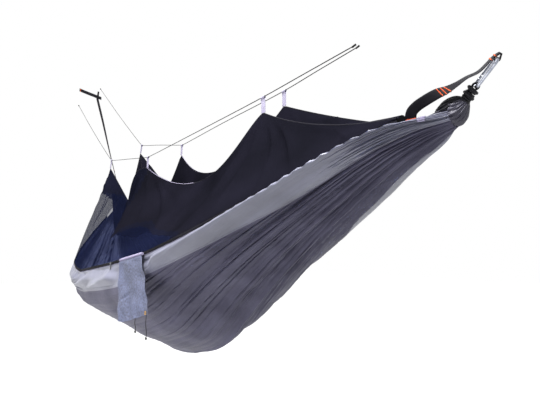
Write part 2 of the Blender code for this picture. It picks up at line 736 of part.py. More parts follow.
def tree_place(turn):
    """A place on the tilted ring of webbing round the far anchor."""
    centre = hang(1, -TREE_RADIUS * math.sin(TREE_FACE), 0)
    centre += Vector((-FOOT_REACH - TREE_RADIUS * math.cos(TREE_FACE), 0, FOOT_RISE))
    rise = TREE_RADIUS * math.tan(TREE_TILT)
    lift = rise * (math.cos(turn - TREE_RISE) - math.cos(TREE_FACE - TREE_RISE))
    return centre + Vector((TREE_RADIUS * math.cos(turn), TREE_RADIUS * math.sin(turn), lift))


def foot_strap(material):
    """The ring of webbing round the far anchor, its end, and the leg down to the foot hook."""
    turns = [TREE_FACE + math.pi * (2 * step + 1) / TREE_STEPS for step in range(TREE_STEPS)]
    ribbon("foot_tree_strap", [tree_place(turn) for turn in turns],
           [Vector((0, 0, 1))] * TREE_STEPS, [STRAP_WIDTH] * TREE_STEPS, STRAP_THICK, material,
           closed=True)
    facing = Vector((math.cos(TREE_FACE), math.sin(TREE_FACE), 0))
    level = Vector((-facing.y, facing.x, 0))
    ply = STRAP_THICK + GAP
    lap = tree_place(TREE_FACE)
    lap += facing * (ply - TREE_RADIUS * (1 - math.cos(math.pi / TREE_STEPS)))
    half = Vector((0, 0, STRAP_WIDTH / 2))
    top = [lap + half, lap, lap - half, lap - half * LEG_BEND_SHARE]
    frame = pull_frame(1, hook_start(), FOOT_HOOK_TURN)
    low = frame.to_3x3() @ Vector((0, 1, 0))
    stitched = HOOK_LENGTH + EYE_TAPER
    eye = [Vector((stitched + EYE_STITCHED, 0, 0)), Vector((stitched, 0, 0))] + eye_turn()
    eye += [Vector((stitched, 0, -ply)), Vector((stitched + EYE_STITCHED, 0, -ply))]
    eye = [frame @ point for point in eye]
    leg = [top[-1].lerp(eye[0], share) for share in LEG_SHARES]
    across = [level] * len(top) + [level.lerp(low, share) for share in LEG_SHARES]
    across += [low] * len(eye)
    widths = [STRAP_WIDTH] * (len(top) + len(leg) + 1) + [EYE_WIDTH] * (len(eye) - 2)
    ribbon("foot_strap_leg", top + leg + eye, across, widths + [STRAP_WIDTH], STRAP_THICK,
           material)
    away = facing * ply
    end = [lap + away - half + Vector((0, 0, STRAP_END_LENGTH * share))
           + facing * STRAP_END_BOW * share * share for share in spread(0, 1, EYE_STEPS)]
    ribbon("foot_strap_end", end, [level] * len(end), [STRAP_END_WIDTH] * len(end), STRAP_THICK,
           material)


def ridge_places(shares):
    """The chosen places of a ridge line at their real size."""
    return [hang(share, SPAN * out, SPAN * up) for share, out, up in shares]


def ridge_line(side_name, shares, line_cord, webbing):
    """A ridge line with a knot at each end and three webbing loops hanging on it."""
    places = ridge_places(shares)
    route = smooth_route(places, LINE_POINTS)
    cord(f"ridge_line_{side_name}", route, LINE_THICK, line_cord)
    for end_name, tip, inner in (("head", route[0], route[1]), ("foot", route[-1], route[-2])):
        away = (tip - inner).normalized()
        turned(f"ridge_knot_{side_name}_{end_name}", tip + away * GAP,
               tip + away * (GAP + KNOT_LENGTH), KNOT_SHARES, KNOT_THICK, KNOT_SIDES, line_cord)
    peaks = []
    for loop_name, index in (("head", HEAD_LOOP), ("mid", MID_LOOP), ("foot", FOOT_LOOP)):
        point = places[index]
        along = (places[index - 1] - places[index + 1]).normalized()
        side = along.cross(Vector((0, 0, 1))).normalized()
        up = side.cross(along).normalized()
        ply = (LOOP_THICK + GAP) / 2
        reach = LINE_THICK / 2 + LOOP_SLACK + LOOP_THICK / 2
        middle = [point + side * ply - up * LOOP_DROP]
        middle += [point + (side * math.cos(angle) + up * math.sin(angle)) * reach
                   - up * (LOOP_SLACK - GAP)
                   for angle in spread(-math.pi / 4, 5 * math.pi / 4, LOOP_STEPS)]
        middle.append(point - side * ply - up * LOOP_DROP)
        ribbon(f"ridge_loop_{side_name}_{loop_name}", middle, [along] * len(middle),
               [LOOP_WIDTH] * len(middle), LOOP_THICK, webbing)
        peaks.append(point - up * LOOP_DROP - Vector((0, 0, GAP + NET_THICK / 2)))
    return peaks


def tape_top():
    """How high the net begins over the edge of the bed."""
    return 2 * EDGE_GAP + TAPE_TALL


def tape(name, side, material):
    """The tape that stands on an edge of the bed."""
    def place(share, way):
        return on_edge(share, side, EDGE_GAP + TAPE_TALL * way)

    def normal(share, way):
        return edge_frame(share, side)[1]
    sheet(name, place, normal, stations(TAPE_START_SHARE, TAPE_END_SHARE), (0, 1), TAPE_THICK,
          material)


def net_supports(side, peaks):
    """Where a net panel's hem is held: at the head, at its three loops and at the foot."""
    head = on_edge(NET_EDGE_SHARES[0], side, tape_top() + NET_HEAD_RISE)
    return [head] + peaks + [hang(FOOT_PEAK_SHARE, side * NET_FOOT_OUT, NET_FOOT_RISE)]


def net_stations(last):
    """The bed's stations under the net, and the places halfway between them."""
    rows = stations(NET_EDGE_SHARES[0], last)
    halves = [(here + there) / 2 for here, there in zip(rows, rows[1:])]
    return sorted(rows + halves)


def stretch_of(share):
    """Which stretch of the net a station lies in, and its share of the way along it."""
    row = 0
    while row < len(NET_EDGE_SHARES) - 2 and share > NET_EDGE_SHARES[row + 1]:
        row += 1
    start, end = NET_EDGE_SHARES[row], NET_EDGE_SHARES[row + 1]
    return row, (share - start) / (end - start)


def hem_sag(side, row, way):
    """The shape of a hem's sag in one of its stretches, from 0 to 1."""
    even = 4 * way * (1 - way)
    if side > 0 or row not in (HEAD_STRETCH, FOOT_STRETCH):
        return even
    if row == HEAD_STRETCH:
        return even ** HEM_DRAWN_SHARE if way < 1 / 2 else even
    if way < HEM_LOW_SHARE:
        return (way / HEM_LOW_SHARE) ** HEM_CUSP_SHARE
    return (1 - way) / (1 - HEM_LOW_SHARE)


def hem_place(supports, side, share, parting):
    """The hem between its supports: it sags and draws in, and is parted from its neighbour."""
    row, way = stretch_of(share)
    sag = hem_sag(side, row, way)
    drop = (BACK_HEM_SAGS if side > 0 else FRONT_HEM_SAGS)[row]
    return supports[row].lerp(supports[row + 1], way) + Vector(
        (0, side * (parting - HEM_DRAWS[row] * sag), -drop * sag))


def net_bow(share):
    """How far a net panel bows in, as a share of its height."""
    row, way = stretch_of(share)
    return NET_BOW_SHARES[row] + (NET_BOW_SHARES[row + 1] - NET_BOW_SHARES[row]) * way


def net_panel(name, side, supports, material):
    """A net panel from its tape up to its hem."""
    def place(share, way):
        low = on_edge(share, side, tape_top())
        high = hem_place(supports, side, share, NET_THICK / 2 + GAP)
        belly = 4 * way * (1 - way)
        fold = FOLD_DEPTH * math.sin(2 * math.pi * FOLDS * stretch_of(share)[1])
        bow = (high - low).length * net_bow(share)
        return low.lerp(high, way) + Vector((0, side * (fold - bow), -bow)) * belly
    sheet(name, place, square_to(place), net_stations(NET_EDGE_SHARES[-1]),
          spread(0, 1, NET_ROWS), NET_THICK, material)


def net_roof(front, back, material):
    """The net between the two hems, slack in the middle, with an open foot end."""
    def place(share, way):
        row, part = stretch_of(share)
        along = (row + part) / ROOF_STRETCHES
        first = hem_place(front, -1, share, -NET_THICK / 2 - GAP)
        last = hem_place(back, 1, share, -NET_THICK / 2 - GAP)
        belly = 4 * way * (1 - way)
        lean = Vector((ROOF_FOOT_REACH, ROOF_FOOT_OUT, 0)) * eased(ROOF_SHARES, along, 2)
        drop = -ROOF_SAG * eased(ROOF_SHARES, along, 1) - HEAD_RISE - (first.z + last.z) / 2
        return first.lerp(last, way) + Vector((0, 0, drop)) * belly + lean * belly * belly
    sheet("net_roof", place, square_to(place), net_stations(NET_EDGE_SHARES[-2]),
          spread(0, 1, ROOF_ROWS), NET_THICK, material)


def on_tape(share, stand_off):
    """A frame on the outer face of the front tape: x to the head, y outwards, z up."""
    ahead, out, up = edge_frame(share, -1)
    frame = Matrix((ahead, out, up)).transposed().to_4x4()
    middle = on_edge(share, -1, EDGE_GAP + TAPE_TALL / 2)
    frame.translation = middle + out * (TAPE_THICK / 2 + GAP + stand_off)
    return frame


def fastener(metal, webbing):
    """The slider on the front tape, its pull on a headed pin, and a stop at each end."""
    frame = on_tape(SLIDER_SHARE, SLIDER_THICK / 2)
    slider = block("zip_slider", frame, (SLIDER_LENGTH, SLIDER_THICK, SLIDER_TALL), metal)
    out = frame.to_3x3() @ Vector((0, 1, 0))
    face = frame @ Vector((0, SLIDER_THICK / 2, 0))
    shank = PULL_THICK + 2 * GAP
    cap = face + out * shank
    pin = rod("zip_slider_pin_join", [face - out * SLIDER_THICK / 2,
                                      cap + out * PULL_PIN_HEAD_THICK / 2],
              PULL_PIN, PIN_SIDES, metal)
    head = rod("zip_slider_head_join", [cap, cap + out * PULL_PIN_HEAD_THICK], PULL_PIN_HEAD,
               PIN_SIDES, metal)
    shaped(slider, [pin, head], "UNION")
    middle = Vector((0, SLIDER_THICK / 2 + GAP + PULL_THICK / 2, (PULL_WIDTH - PULL_LENGTH) / 2))
    pull = block("zip_pull", frame @ Matrix.Translation(middle),
                 (PULL_WIDTH, PULL_THICK, PULL_LENGTH), metal)
    hole = rod("zip_pull_hole_cut", [face - out * OVERRUN, face + out * OVERRUN],
               PULL_PIN + 2 * GAP, PIN_SIDES, metal)
    shaped(pull, [hole], "DIFFERENCE")
    for end_name, share in zip(("head", "foot"), STOP_SHARES):
        block(f"zip_stop_{end_name}", on_tape(share, SLIDER_THICK / 2),
              (STOP_LENGTH, SLIDER_THICK, SLIDER_TALL), webbing)


def bar_place(way):
    """A place on the middle line of the sack's bar, from its foot end to its head end."""
    share = SACK_FROM_SHARE + (SACK_TO_SHARE - SACK_FROM_SHARE) * way
    return on_tape(share, BAR_THICK / 2).translation


def sack_place(across, down):
    """The sack's cloth: across runs towards the head, down from its bar."""
    out = edge_frame(SACK_FROM_SHARE, -1)[1]
    wide = (bar_place(1) - bar_place(0)) * (1 + SACK_SPREAD_SHARE * down)
    crease = SACK_CREASE * math.sin(2 * math.pi * SACK_CREASES * across) * down
    fall = BAR_THICK / 2 + GAP + SACK_DROP * (1 - SACK_SLANT_SHARE * across) * down
    away = out * (SACK_STAND_OFF + SACK_FLARE * down + crease)
    return bar_place(0) + wide * across + away + Vector((SACK_SKEW * down, 0, -fall))


def sack(cloth, bar_cloth, brass, sack_cord):
    """The stuff sack: its rolled bar, its cloth, the eyelet and two cord ends."""
    rod("sack_top_bar", [bar_place(0), bar_place(1)], BAR_THICK, BAR_SIDES, bar_cloth)
    normal = square_to(sack_place)
    sheet("sack_body", sack_place, normal, spread(0, 1, SACK_COLUMNS), spread(0, 1, SACK_ROWS),
          SACK_THICK, cloth)
    out = edge_frame(SACK_FROM_SHARE, -1)[1]
    centre = sack_place(EYELET_ACROSS_SHARE, EYELET_DOWN_SHARE)
    square = normal(EYELET_ACROSS_SHARE, EYELET_DOWN_SHARE)
    square *= math.copysign(1, square.dot(out))
    centre += square * (SACK_THICK / 2 + EDGE_GAP + EYELET_ROD / 2)
    level = square.orthogonal().normalized()
    other = square.cross(level)
    mesh = bmesh.new()
    rings = []
    for step in range(EYELET_STEPS):
        turn = 2 * math.pi * step / EYELET_STEPS
        away = level * math.cos(turn) + other * math.sin(turn)
        rings.append([mesh.verts.new(centre + away * (
            EYELET_RADIUS + EYELET_ROD / 2 * math.cos(2 * math.pi * side / EYELET_SIDES))
            + square * EYELET_ROD / 2 * math.sin(2 * math.pi * side / EYELET_SIDES))
            for side in range(EYELET_SIDES)])
    skin_rings(mesh, rings, closed=True)
    solid("sack_eyelet", mesh, brass)
    for cord_name, across, length in (("long", LONG_CORD_ACROSS_SHARE, SACK_CORD_LONG),
                                      ("short", SHORT_CORD_ACROSS_SHARE, SACK_CORD_SHORT)):
        top = sack_place(across, 1) - Vector((0, 0, GAP))
        route = [top + out * SACK_CORD_SWAY * math.sin(2 * math.pi * way) * way
                 - Vector((0, 0, length * way)) for way in spread(0, 1, SACK_CORD_POINTS)]
        cord(f"sack_cord_{cord_name}", route, SACK_CORD_THICK, sack_cord)


def pivot(name, place, names):
    """An empty on a joint's axis that carries the pieces which move with it."""
    carrier = bpy.data.objects.new(name, None)
    carrier.location = place
    bpy.context.scene.collection.objects.link(carrier)
    for carried in names:
        piece = bpy.data.objects[carried]
        piece.parent = carrier
        piece.matrix_parent_inverse = Matrix.Translation(-place)


def hook_place(end, turn, along, out):
    """A place on a hook, from its frame."""
    return pull_frame(end, hook_start(), turn) @ Vector((along, out, 0))


def pivots():
    """The empties on the joint axes: the gates, the slider and its pull, the sack, the bed."""
    for end_name, end, turn in HOOK_ENDS:
        pivot(f"{end_name}_gate_pivot", hook_place(end, turn, HOOK_PIN_PLACE, HOOK_HALF_WIDTH),
              [f"{end_name}_hook_gate"])
    centre = on_tape(SLIDER_SHARE, SLIDER_THICK / 2).translation
    pivot("zip_pull_pivot", centre, ["zip_pull"])
    pivot("zip_slider_pivot", centre, ["zip_slider", "zip_pull_pivot"])
    pivot("sack_pivot", bar_place(0), SACK_PIECES)
    pivot("bed_pivot", hook_place(0, HEAD_HOOK_TURN, HOOK_LENGTH, 0), BED_PIECES)


def main():
    """Build every piece."""
    for leftover in list(bpy.data.objects):
        bpy.data.objects.remove(leftover)
    centre_cloth = finish("centre_cloth", "5f5e6a", 0.6)
    side_cloth = finish("side_cloth", "8f8d95", 0.55)
    net = finish("net", "24242e", 0.8)
    tape_cloth = finish("tape_cloth", "1e1d24", 0.7)
    webbing = finish("webbing", "1c1b22", 0.75)
    pale_webbing = finish("pale_webbing", "dcd7ea", 0.7)
    black_cord = finish("black_cord", "0d0d12", 0.7)
    line_cord = finish("line_cord", "24241e", 0.7)
    steel = finish("polished_steel", "d9dadd", 0.15, 1.0)
    brass = finish("brass", "a8823c", 0.3, 1.0)
    sack_cloth = finish("sack_cloth", "868a96", 0.7)
    band_cloth = finish("band_cloth", "b9b0cf", 0.7)
    patch_cloth = finish("patch_cloth", "6a5450", 0.7)
    bed(centre_cloth, side_cloth)
    trim(band_cloth, patch_cloth)
    for end_name, end, turn in HOOK_ENDS:
        gather(f"{end_name}_gather", end, centre_cloth)
        cord_loop(f"{end_name}_cord_loop", end, turn, black_cord)
        cord_winding(f"{end_name}_cord_winding", end, turn, black_cord)
        hook(f"{end_name}_hook", end, turn, steel, steel)
    head_strap(webbing)
    foot_strap(webbing)
    front = ridge_line("front", FRONT_LINE_SHARES, line_cord, pale_webbing)
    back = ridge_line("back", BACK_LINE_SHARES, line_cord, pale_webbing)
    tape("zip_tape", -1, tape_cloth)
    tape("seam_tape", 1, tape_cloth)
    front_supports = net_supports(-1, front)
    back_supports = net_supports(1, back)
    net_panel("net_front_panel", -1, front_supports, net)
    net_panel("net_back_panel", 1, back_supports, net)
    net_roof(front_supports, back_supports, net)
    fastener(steel, tape_cloth)
    sack(sack_cloth, band_cloth, brass, line_cord)
    pivots()


main()
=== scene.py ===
"""Looks of a gathered-end camp hammock with an insect net: its cloth, net, straps and cords."""
import math
from bisect import bisect_left
from operator import itemgetter

import bmesh
import bpy
from mathutils import Matrix, Vector, noise


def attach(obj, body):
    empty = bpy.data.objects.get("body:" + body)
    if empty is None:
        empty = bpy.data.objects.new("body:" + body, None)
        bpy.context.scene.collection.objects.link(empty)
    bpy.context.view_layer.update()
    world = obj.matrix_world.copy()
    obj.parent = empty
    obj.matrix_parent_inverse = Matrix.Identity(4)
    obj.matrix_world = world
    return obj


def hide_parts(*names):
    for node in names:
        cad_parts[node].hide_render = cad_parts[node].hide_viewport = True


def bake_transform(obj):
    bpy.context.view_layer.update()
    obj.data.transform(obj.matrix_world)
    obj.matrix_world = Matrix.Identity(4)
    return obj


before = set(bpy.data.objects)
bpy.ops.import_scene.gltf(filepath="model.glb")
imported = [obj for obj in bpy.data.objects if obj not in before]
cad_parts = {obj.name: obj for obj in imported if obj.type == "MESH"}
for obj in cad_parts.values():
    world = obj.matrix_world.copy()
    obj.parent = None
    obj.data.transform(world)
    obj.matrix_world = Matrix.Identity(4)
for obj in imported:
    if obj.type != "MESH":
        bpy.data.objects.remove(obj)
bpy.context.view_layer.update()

# A full turn, the two sides with their signs, and the two ends with the signs of their way out
TURN = 2 * math.pi
SIDES = ((-1, "front"), (1, "back"))
ENDS = (("head", 1), ("foot", -1))

# The hang, in metres: gather to gather, and from each gather to where its strap pulls
SPAN = 2.39
HEAD_REACH, HEAD_RISE = 0.105, 0.0985
FOOT_REACH, FOOT_RISE = 0.805, 1.0
GAP = 0.0003
EDGE_GAP = 0.0009

# The bed: half width, sags, cloth, the flat widths of its panels, and its tables along the span.
# Columns of the edge's table: way out and sag; of the belly's: sag and fullness, all as shares
BED_HALF_WIDTH = 0.44
EDGE_SAG = 0.40
BELLY_SAG = 0.785
BED_THICK = 0.0012
CENTRE_WIDTH, SIDE_WIDTH = 1.2, 0.14
EDGE_ROUND, PROBE = 0.009, 0.0001
PLEAT_DEPTH = 0.0085
PLEATS = 9
EDGE_TABLE = (
    (0.0, 0.06, 0.0), (0.03, 0.205, 0.055), (0.08, 0.345, 0.16), (0.165, 0.555, 0.40),
    (0.25, 0.73, 0.605), (0.36, 0.885, 0.81), (0.465, 0.955, 0.90), (0.56, 0.98, 0.96),
    (0.65, 0.975, 1.0), (0.75, 0.915, 0.89), (0.86, 0.62, 0.58), (0.94, 0.30, 0.25),
    (1.0, 0.06, 0.0))
BACK_OUT, BACK_SAG = 0.88, 0.75
BELLY_TABLE = (
    (0.0, 0.04, 1.0), (0.03, 0.066, 0.8), (0.09, 0.15, 0.45), (0.167, 0.29, 0.3),
    (0.267, 0.50, 0.35), (0.345, 0.69, 0.45), (0.41, 0.85, 0.55), (0.505, 0.95, 0.6),
    (0.58, 0.985, 0.35), (0.64, 0.99, 0.1), (0.70, 0.94, 0.0), (0.76, 0.85, 0.1),
    (0.86, 0.62, 0.45), (0.94, 0.30, 0.9), (1.0, 0.04, 1.0))
SIDE_OUT, SIDE_FALL, SIDE_ACROSS, HOLLOW = 0.96, 0.34, 0.75, 0.72
# Where the lengthwise seams run, as a share of the way from the keel to the edge
SEAM_TABLE = (
    (0.0, 0.5), (0.08, 0.5), (0.14, 0.56), (0.2, 0.66), (0.26, 0.74), (0.32, 0.81), (0.4, 0.85),
    (0.64, 0.85), (0.72, 0.81), (0.85, 0.76), (1.0, 0.7))
PLEAT_TABLE = (
    (0.0, 0.12), (0.05, 0.4), (0.15, 0.9), (0.3, 1.0), (0.45, 0.6), (0.6, 0.2),
    (0.75, 0.3), (0.88, 0.8), (0.95, 0.4), (1.0, 0.12))
SEAM_SHARE = 0.014
STATIONS = (
    0.0, 0.0146, 0.0188, 0.035, 0.065, 0.105, 0.16, 0.225, 0.29, 0.352, 0.448, 0.54, 0.635,
    0.685, 0.735, 0.80, 0.875, 0.94, 1.0)

# Narrow pleats that run out from both gathers: their depth, their share of it along the span,
# and how crowded each run of them is, with its seed, its width and its share
FINE_DEPTH = 0.0155
FINE_TABLE = (
    (0.0, 0.3), (0.04, 0.8), (0.1, 1.2), (0.22, 1.1), (0.32, 0.75), (0.42, 0.34), (0.52, 0.15),
    (0.62, 0.12), (0.72, 0.5), (0.82, 1.1), (0.9, 1.3), (0.96, 0.8), (1.0, 0.3))
FINE_GROOVES = ((19, 3, 0.2, 1.0), (41, 8, 0.25, 0.5))
FINE_MIDDLE = 1.2
# The side panels: their roll and its crest, their puckers and their folds at the corner; crumples
ROLL_DEPTH = 0.023
CREST_DEPTH = 0.007
PUCKER_DEPTH = 0.0034
PUCKER_PITCH = 0.032
CORNER_FOLD = 0.006
CORNER_FOLDS = 16
# Where relief starts and ends, and how far it takes to come and go
SIDE_CALM, BED_CALM = (0, 0.99, 0.05, 0.06), (0, 1, 0.06, 0.06)
SACK_CALM, BEHIND_SACK = 0.85, (0.325, 0.465, 0.025, 0.025)
PUCKER_PARTS = (0, 0.55, 0.1, 0.4)
CORNER_SHARES, CORNER_PARTS = (0.36, 0.71, 0.14, 0.04), (0, 1.1, 0.15, 0.2)
CRUMPLE = 0.0045
CRUMPLE_SCALES = ((8, 1.0), (21, 0.4))

# The net: where each panel is held up, how its hems sag and draw in, and how its roof hangs
NET_EDGES = (0.035, 0.2575, 0.54, 0.71, 0.94)
NET_BOWS = (0.03, 0.05, 0.05, 0.0, 0.0)
HEM_SAGS = {-1: (0.028, 0.155, 0.20, 0.02), 1: (0.012, 0.17, 0.32, 0.02)}
HEM_LOW, HEM_CUSP, HEM_DRAWN = 0.559, 2.6, 1.4
HEM_DRAWS = (0.0, 0.03, 0.03, 0.0)
NET_THICK = 0.0008
NET_BLEND = {"start": (-1.4, 0, 0.021), "end": (-1.4024, 0, -0.059)}
NET_HEAD_RISE = 0.003
NET_FOOT = (0.992, 0.034, 0.030)
ROOF_SAG = 0.215
ROOF_STRETCHES = 3
ROOF_TABLE = (
    (0.0, 0.0, 0.0), (0.27, -0.28, 0.0), (0.5, 0.47, 0.0), (0.68, 0.77, 0.0),
    (0.85, 1.0, 0.4), (1.0, 0.98, 1.0))
ROOF_LEAN = (0.36, -0.13)
FOLD_DEPTH = 0.007
FOLDS = 2
FAN_DEPTH = 0.014
FAN_FOLDS = 9
FAN_REACH = 0.42
SLACK_DEPTH = 0.004
SWAG_DEPTH = 0.007
HEM_RADIUS, PIPING_RADIUS, PIPING_SHARES = 0.0021, 0.0016, (0.41, 0.538, 90)

# The tapes on the edges of the bed
TAPE_TALL = 0.012
TAPE_THICK = 0.0016

# Ridge lines, by places along their way from head to foot: share, out and up, all as shares
LINE_THICK = 0.003
LINES = {
    "front": (
        (0.1113, -0.0146, 0.1054), (0.1950, -0.0178, 0.1002), (0.2795, -0.0209, 0.0950),
        (0.4874, -0.0301, 0.0860), (0.6883, -0.0395, 0.0780), (0.6937, -0.0397, 0.0782),
        (0.6992, -0.0397, 0.0785), (0.8347, -0.0402, 0.0981), (0.9561, -0.0406, 0.1159),
        (0.9690, -0.0406, 0.1185), (0.9745, -0.0406, 0.1205), (0.9799, -0.0406, 0.1226),
        (0.9916, -0.0408, 0.1284), (1.1695, -0.0460, 0.2433), (1.3787, -0.0519, 0.3870)),
    "back": (
        (0.1314, 0.0146, 0.1209), (0.2071, 0.0178, 0.1182), (0.2828, 0.0209, 0.1151),
        (0.4874, 0.0301, 0.1165), (0.6866, 0.0395, 0.1166), (0.6921, 0.0397, 0.1172),
        (0.6975, 0.0397, 0.1178), (0.8305, 0.0397, 0.1450), (0.9481, 0.0397, 0.1677),
        (0.9611, 0.0397, 0.1709), (0.9665, 0.0397, 0.1732), (0.9720, 0.0397, 0.1755),
        (0.9837, 0.0395, 0.1818), (1.1695, 0.0301, 0.3119), (1.3787, 0.0197, 0.4656))}
LOOP_PLACES = (("head", 2), ("mid", 5), ("foot", 10))
LOOP_WIDTH, LOOP_THICK, LOOP_DROP, LOOP_SLACK = 0.022, 0.001, 0.058, 0.0016
KNOT_LENGTH, KNOT_THICK = 0.013, 0.009

# Hooks and straps
HOOK_ROD, HOOK_LENGTH = 0.007, 0.065
EYE_LENGTH = 0.012
EYE_CLEARANCE = 0.0013
HOOK_TURNS = (math.radians(47), math.radians(60))
HOOK_PLACE = math.hypot(HEAD_REACH, HEAD_RISE) - HOOK_LENGTH - EYE_LENGTH
STRAP_WIDTH, STRAP_THICK, EYE_WIDTH = 0.025, 0.0016, 0.013
WEBBING_PROFILE = (
    (-0.5, 0.0), (-0.46, 0.42), (-0.25, 0.5), (0.0, 0.5), (0.25, 0.5), (0.46, 0.42),
    (0.5, 0.0), (0.46, -0.42), (0.25, -0.5), (0.0, -0.5), (-0.25, -0.5), (-0.46, -0.42))
TAIL = (
    (1.18, 0.0, 0.045), (1.09, 0.0, 0.095), (0.92, 0.0, 0.14), (0.69, 0.0, 0.16),
    (0.395, 0.0, 0.223), (0.09, 0.0, 0.414), (-0.25, 0.0, 0.557), (-0.55, -0.02, 0.72),
    (-0.79, -0.02, 0.895), (-1.18, -0.04, 1.10), (-1.46, -0.08, 1.22), (-1.68, -0.14, 1.26),
    (-1.84, -0.18, 1.20), (-1.95, -0.20, 1.10), (-2.03, -0.20, 1.00))
TAIL_SIDE, TAIL_STEPS = Vector((-0.33, -0.58, 0.74)), 120
RING_STEPS, RING_END_WIDTH, SEWN_FROM, SEWN_LONG = 112, 0.018, 0.02, 0.045
LEG_BLEND = {"start": (-3.299, 0, 0.90), "end": (-3.20, 0, 0.78)}
TREE_RADIUS, TREE_TILT = 0.088, math.radians(25)
TREE_FACE, TREE_RISE = math.radians(27), math.radians(207)
TREE_STEPS = 28

# Bar tacks: their places on the straps, their half length and how far out they lie
TAIL_TACKS = ((8, 0.0), (14, 0.0), (60, 0.004), (64, 0.004), (68, 0.004), (111, 0.0), (115, 0.0))
LEG_TACKS = (0.86, 0.955)
RING_TACKS = (math.radians(-75), math.radians(-72))
TACK_HALF, TACK_LIFT = 0.0105, STRAP_THICK * 0.62

# Beads of thread: their spacing, length and thickness
SEAM_BEADS = (0.009, 0.005, 0.0010)
EDGE_BEADS = (0.0085, 0.0075, 0.0017)
TAIL_BEADS = (0.0011, 0.0020, 0.0030)
TACK_BEADS = (0.0011, 0.0020, 0.0034)
LOOP_BEADS = (0.0028, 0.0020, 0.0008)
COIL_BEADS = (0.0026, 0.0020, 0.0024)
SACK_BEADS = (0.006, 0.0035, 0.0009)

# Cords at the gathers
CORD_THICK = 0.005
CORD_STARTS = (0.0275, 0.0295)
CORD_PARTING = 0.0055
WINDING_START, WINDING_TURNS, WINDING_PITCH, WINDING_LUMP = 0.0335, 4, 0.0056, 0.0015
GATHER_RADIUS, GATHER_BULGE = 0.032, 0.022
GATHER_SHARE = 0.021
# Flutes and finer creases of the bunched cloth: how many round it and how deep
FLUTE_STEPS, FLUTES, FLUTE_DEPTH, CREASES, CREASE_DEPTH = 144, 8.5, 0.12, 14.5, 0.05
STRANDS, STRAND_RADIUS = (-1.45, 1.25, 10), 0.0024
ROPE_LUMPS = ((0.0, 0.0095), (0.0115, 0.0115), (0.0245, 0.0110))

# The stuff sack on the front tape
SACK_FROM, SACK_TO = 0.4225, 0.356
SACK_STAND_OFF, SACK_FLARE, SACK_SKEW, SACK_SPREAD = 0.004, 0.012, 0.047, 0.3
SACK_DROP, SACK_SLANT, SACK_THICK, BAR_THICK = 0.201, 0.11, 0.005, 0.011
SACK_CREASE, SACK_CREASES = 0.003, 2
SACK_CORDS = (("long", 0.9, 0.070), ("short", 0.62, 0.040))
SACK_CORD_THICK, SACK_CORD_SWAY = 0.002, 0.003
SACK_KNOT = (0.007, 0.0055)

# Where a wandering colour is its deep and its pale one
DRIFT_STOPS = (0.32, 0.68)

# Lamps: place, aim, size and power
LAMPS = (
    ("key", (0.0, -1.6, 2.7), (-1.2, 0, -0.3), 0.8, 250),
    ("fill", (-0.7, -3.2, -0.4), (-1.3, 0, -0.6), 1.8, 28),
    ("rim", (-2.4, 2.0, 2.4), (-1.8, 0, -0.3), 1.6, 30))


def hang(share, out, up):
    """A place by its share of the span from the head gather, its way to the back and its height."""
    return Vector((-HEAD_REACH - SPAN * share, out, up - HEAD_RISE))


def eased(table, share, column):
    """Read a column of a table at a share of the way, on a smooth curve through its rows."""
    row = bisect_left(table, share, 1, len(table) - 1, key=itemgetter(0)) - 1
    start, end = table[row:row + 2]
    before, after = table[max(row - 1, 0)], table[min(row + 2, len(table) - 1)]
    width = end[0] - start[0]
    way = (share - start[0]) / width
    leave = (end[column] - before[column]) / (end[0] - before[0]) * width
    arrive = (after[column] - start[column]) / (after[0] - start[0]) * width
    square, cube = way * way, way * way * way
    return ((2 * cube - 3 * square + 1) * start[column] + (cube - 2 * square + way) * leave
            + (3 * square - 2 * cube) * end[column] + (cube - square) * arrive)


def stretch(stations, share):
    """Which stretch between stations a share lies in, and its share of the way along it."""
    row = bisect_left(stations, share, 1, len(stations) - 1) - 1
    start, end = stations[row:row + 2]
    return row, (share - start) / (end - start)


def spread(first, last, steps):
    """Even values from first to last."""
    return [first + (last - first) * step / steps for step in range(steps + 1)]


def circle(steps):
    """The turns of evenly many places round a circle."""
    return spread(0, TURN, steps)[:-1]


def crowded(first, last, steps):
    """Values from first to last that lie closer near both ends."""
    return [first + (last - first) * (way - 0.6 * math.sin(TURN * way) / TURN)
            for way in spread(0, 1, steps)]


def smooth(way):
    """Ease from 0 to 1."""
    way = min(max(way, 0), 1)
    return way * way * (3 - 2 * way)


def within(value, first, last, rise, fall):
    """Ease in after the first of two values and out before the last."""
    return smooth((value - first) / rise) * smooth((last - value) / fall)


def ripple(x, y, z, scale):
    """Seeded noise at a place, for folds and crumples."""
    return noise.noise(Vector((x * scale, y * scale, z * scale)))


def bed_out(share, side):
    """How far an edge lies from the middle."""
    return BED_HALF_WIDTH * eased(EDGE_TABLE, share, 1) * (BACK_OUT if side > 0 else 1)


def edge_up(share, side):
    """How high an edge lies over the gathers."""
    return -EDGE_SAG * eased(EDGE_TABLE, share, 2) * (BACK_SAG if side > 0 else 1)


def edge_place(share, side, up):
    """A place over an edge of the bed."""
    return hang(share, side * bed_out(share, side), edge_up(share, side) + up)


def cut_edge(share, side, up):
    """A place over the edge as the solids are cut, on straight runs between the stations."""
    row, way = stretch(STATIONS, share)
    return edge_place(STATIONS[row], side, up).lerp(edge_place(STATIONS[row + 1], side, up), way)


def on_edge(share, side, up):
    """The cut edge with its corners rounded off."""
    reach = min(EDGE_ROUND, share, 1 - share)
    places = [cut_edge(share + step * reach, side, up) for step in (-1, -0.5, 0, 0.5, 1)]
    return sum(places, Vector()) / len(places)


def edge_frame(share, side):
    """Axes on the edge: towards the head, outwards and up."""
    ahead = (cut_edge(share - PROBE, side, 0) - cut_edge(share + PROBE, side, 0)).normalized()
    out = Vector((-ahead.y, ahead.x, 0)).normalized() * side
    return ahead, out, ahead.cross(out).normalized() * side


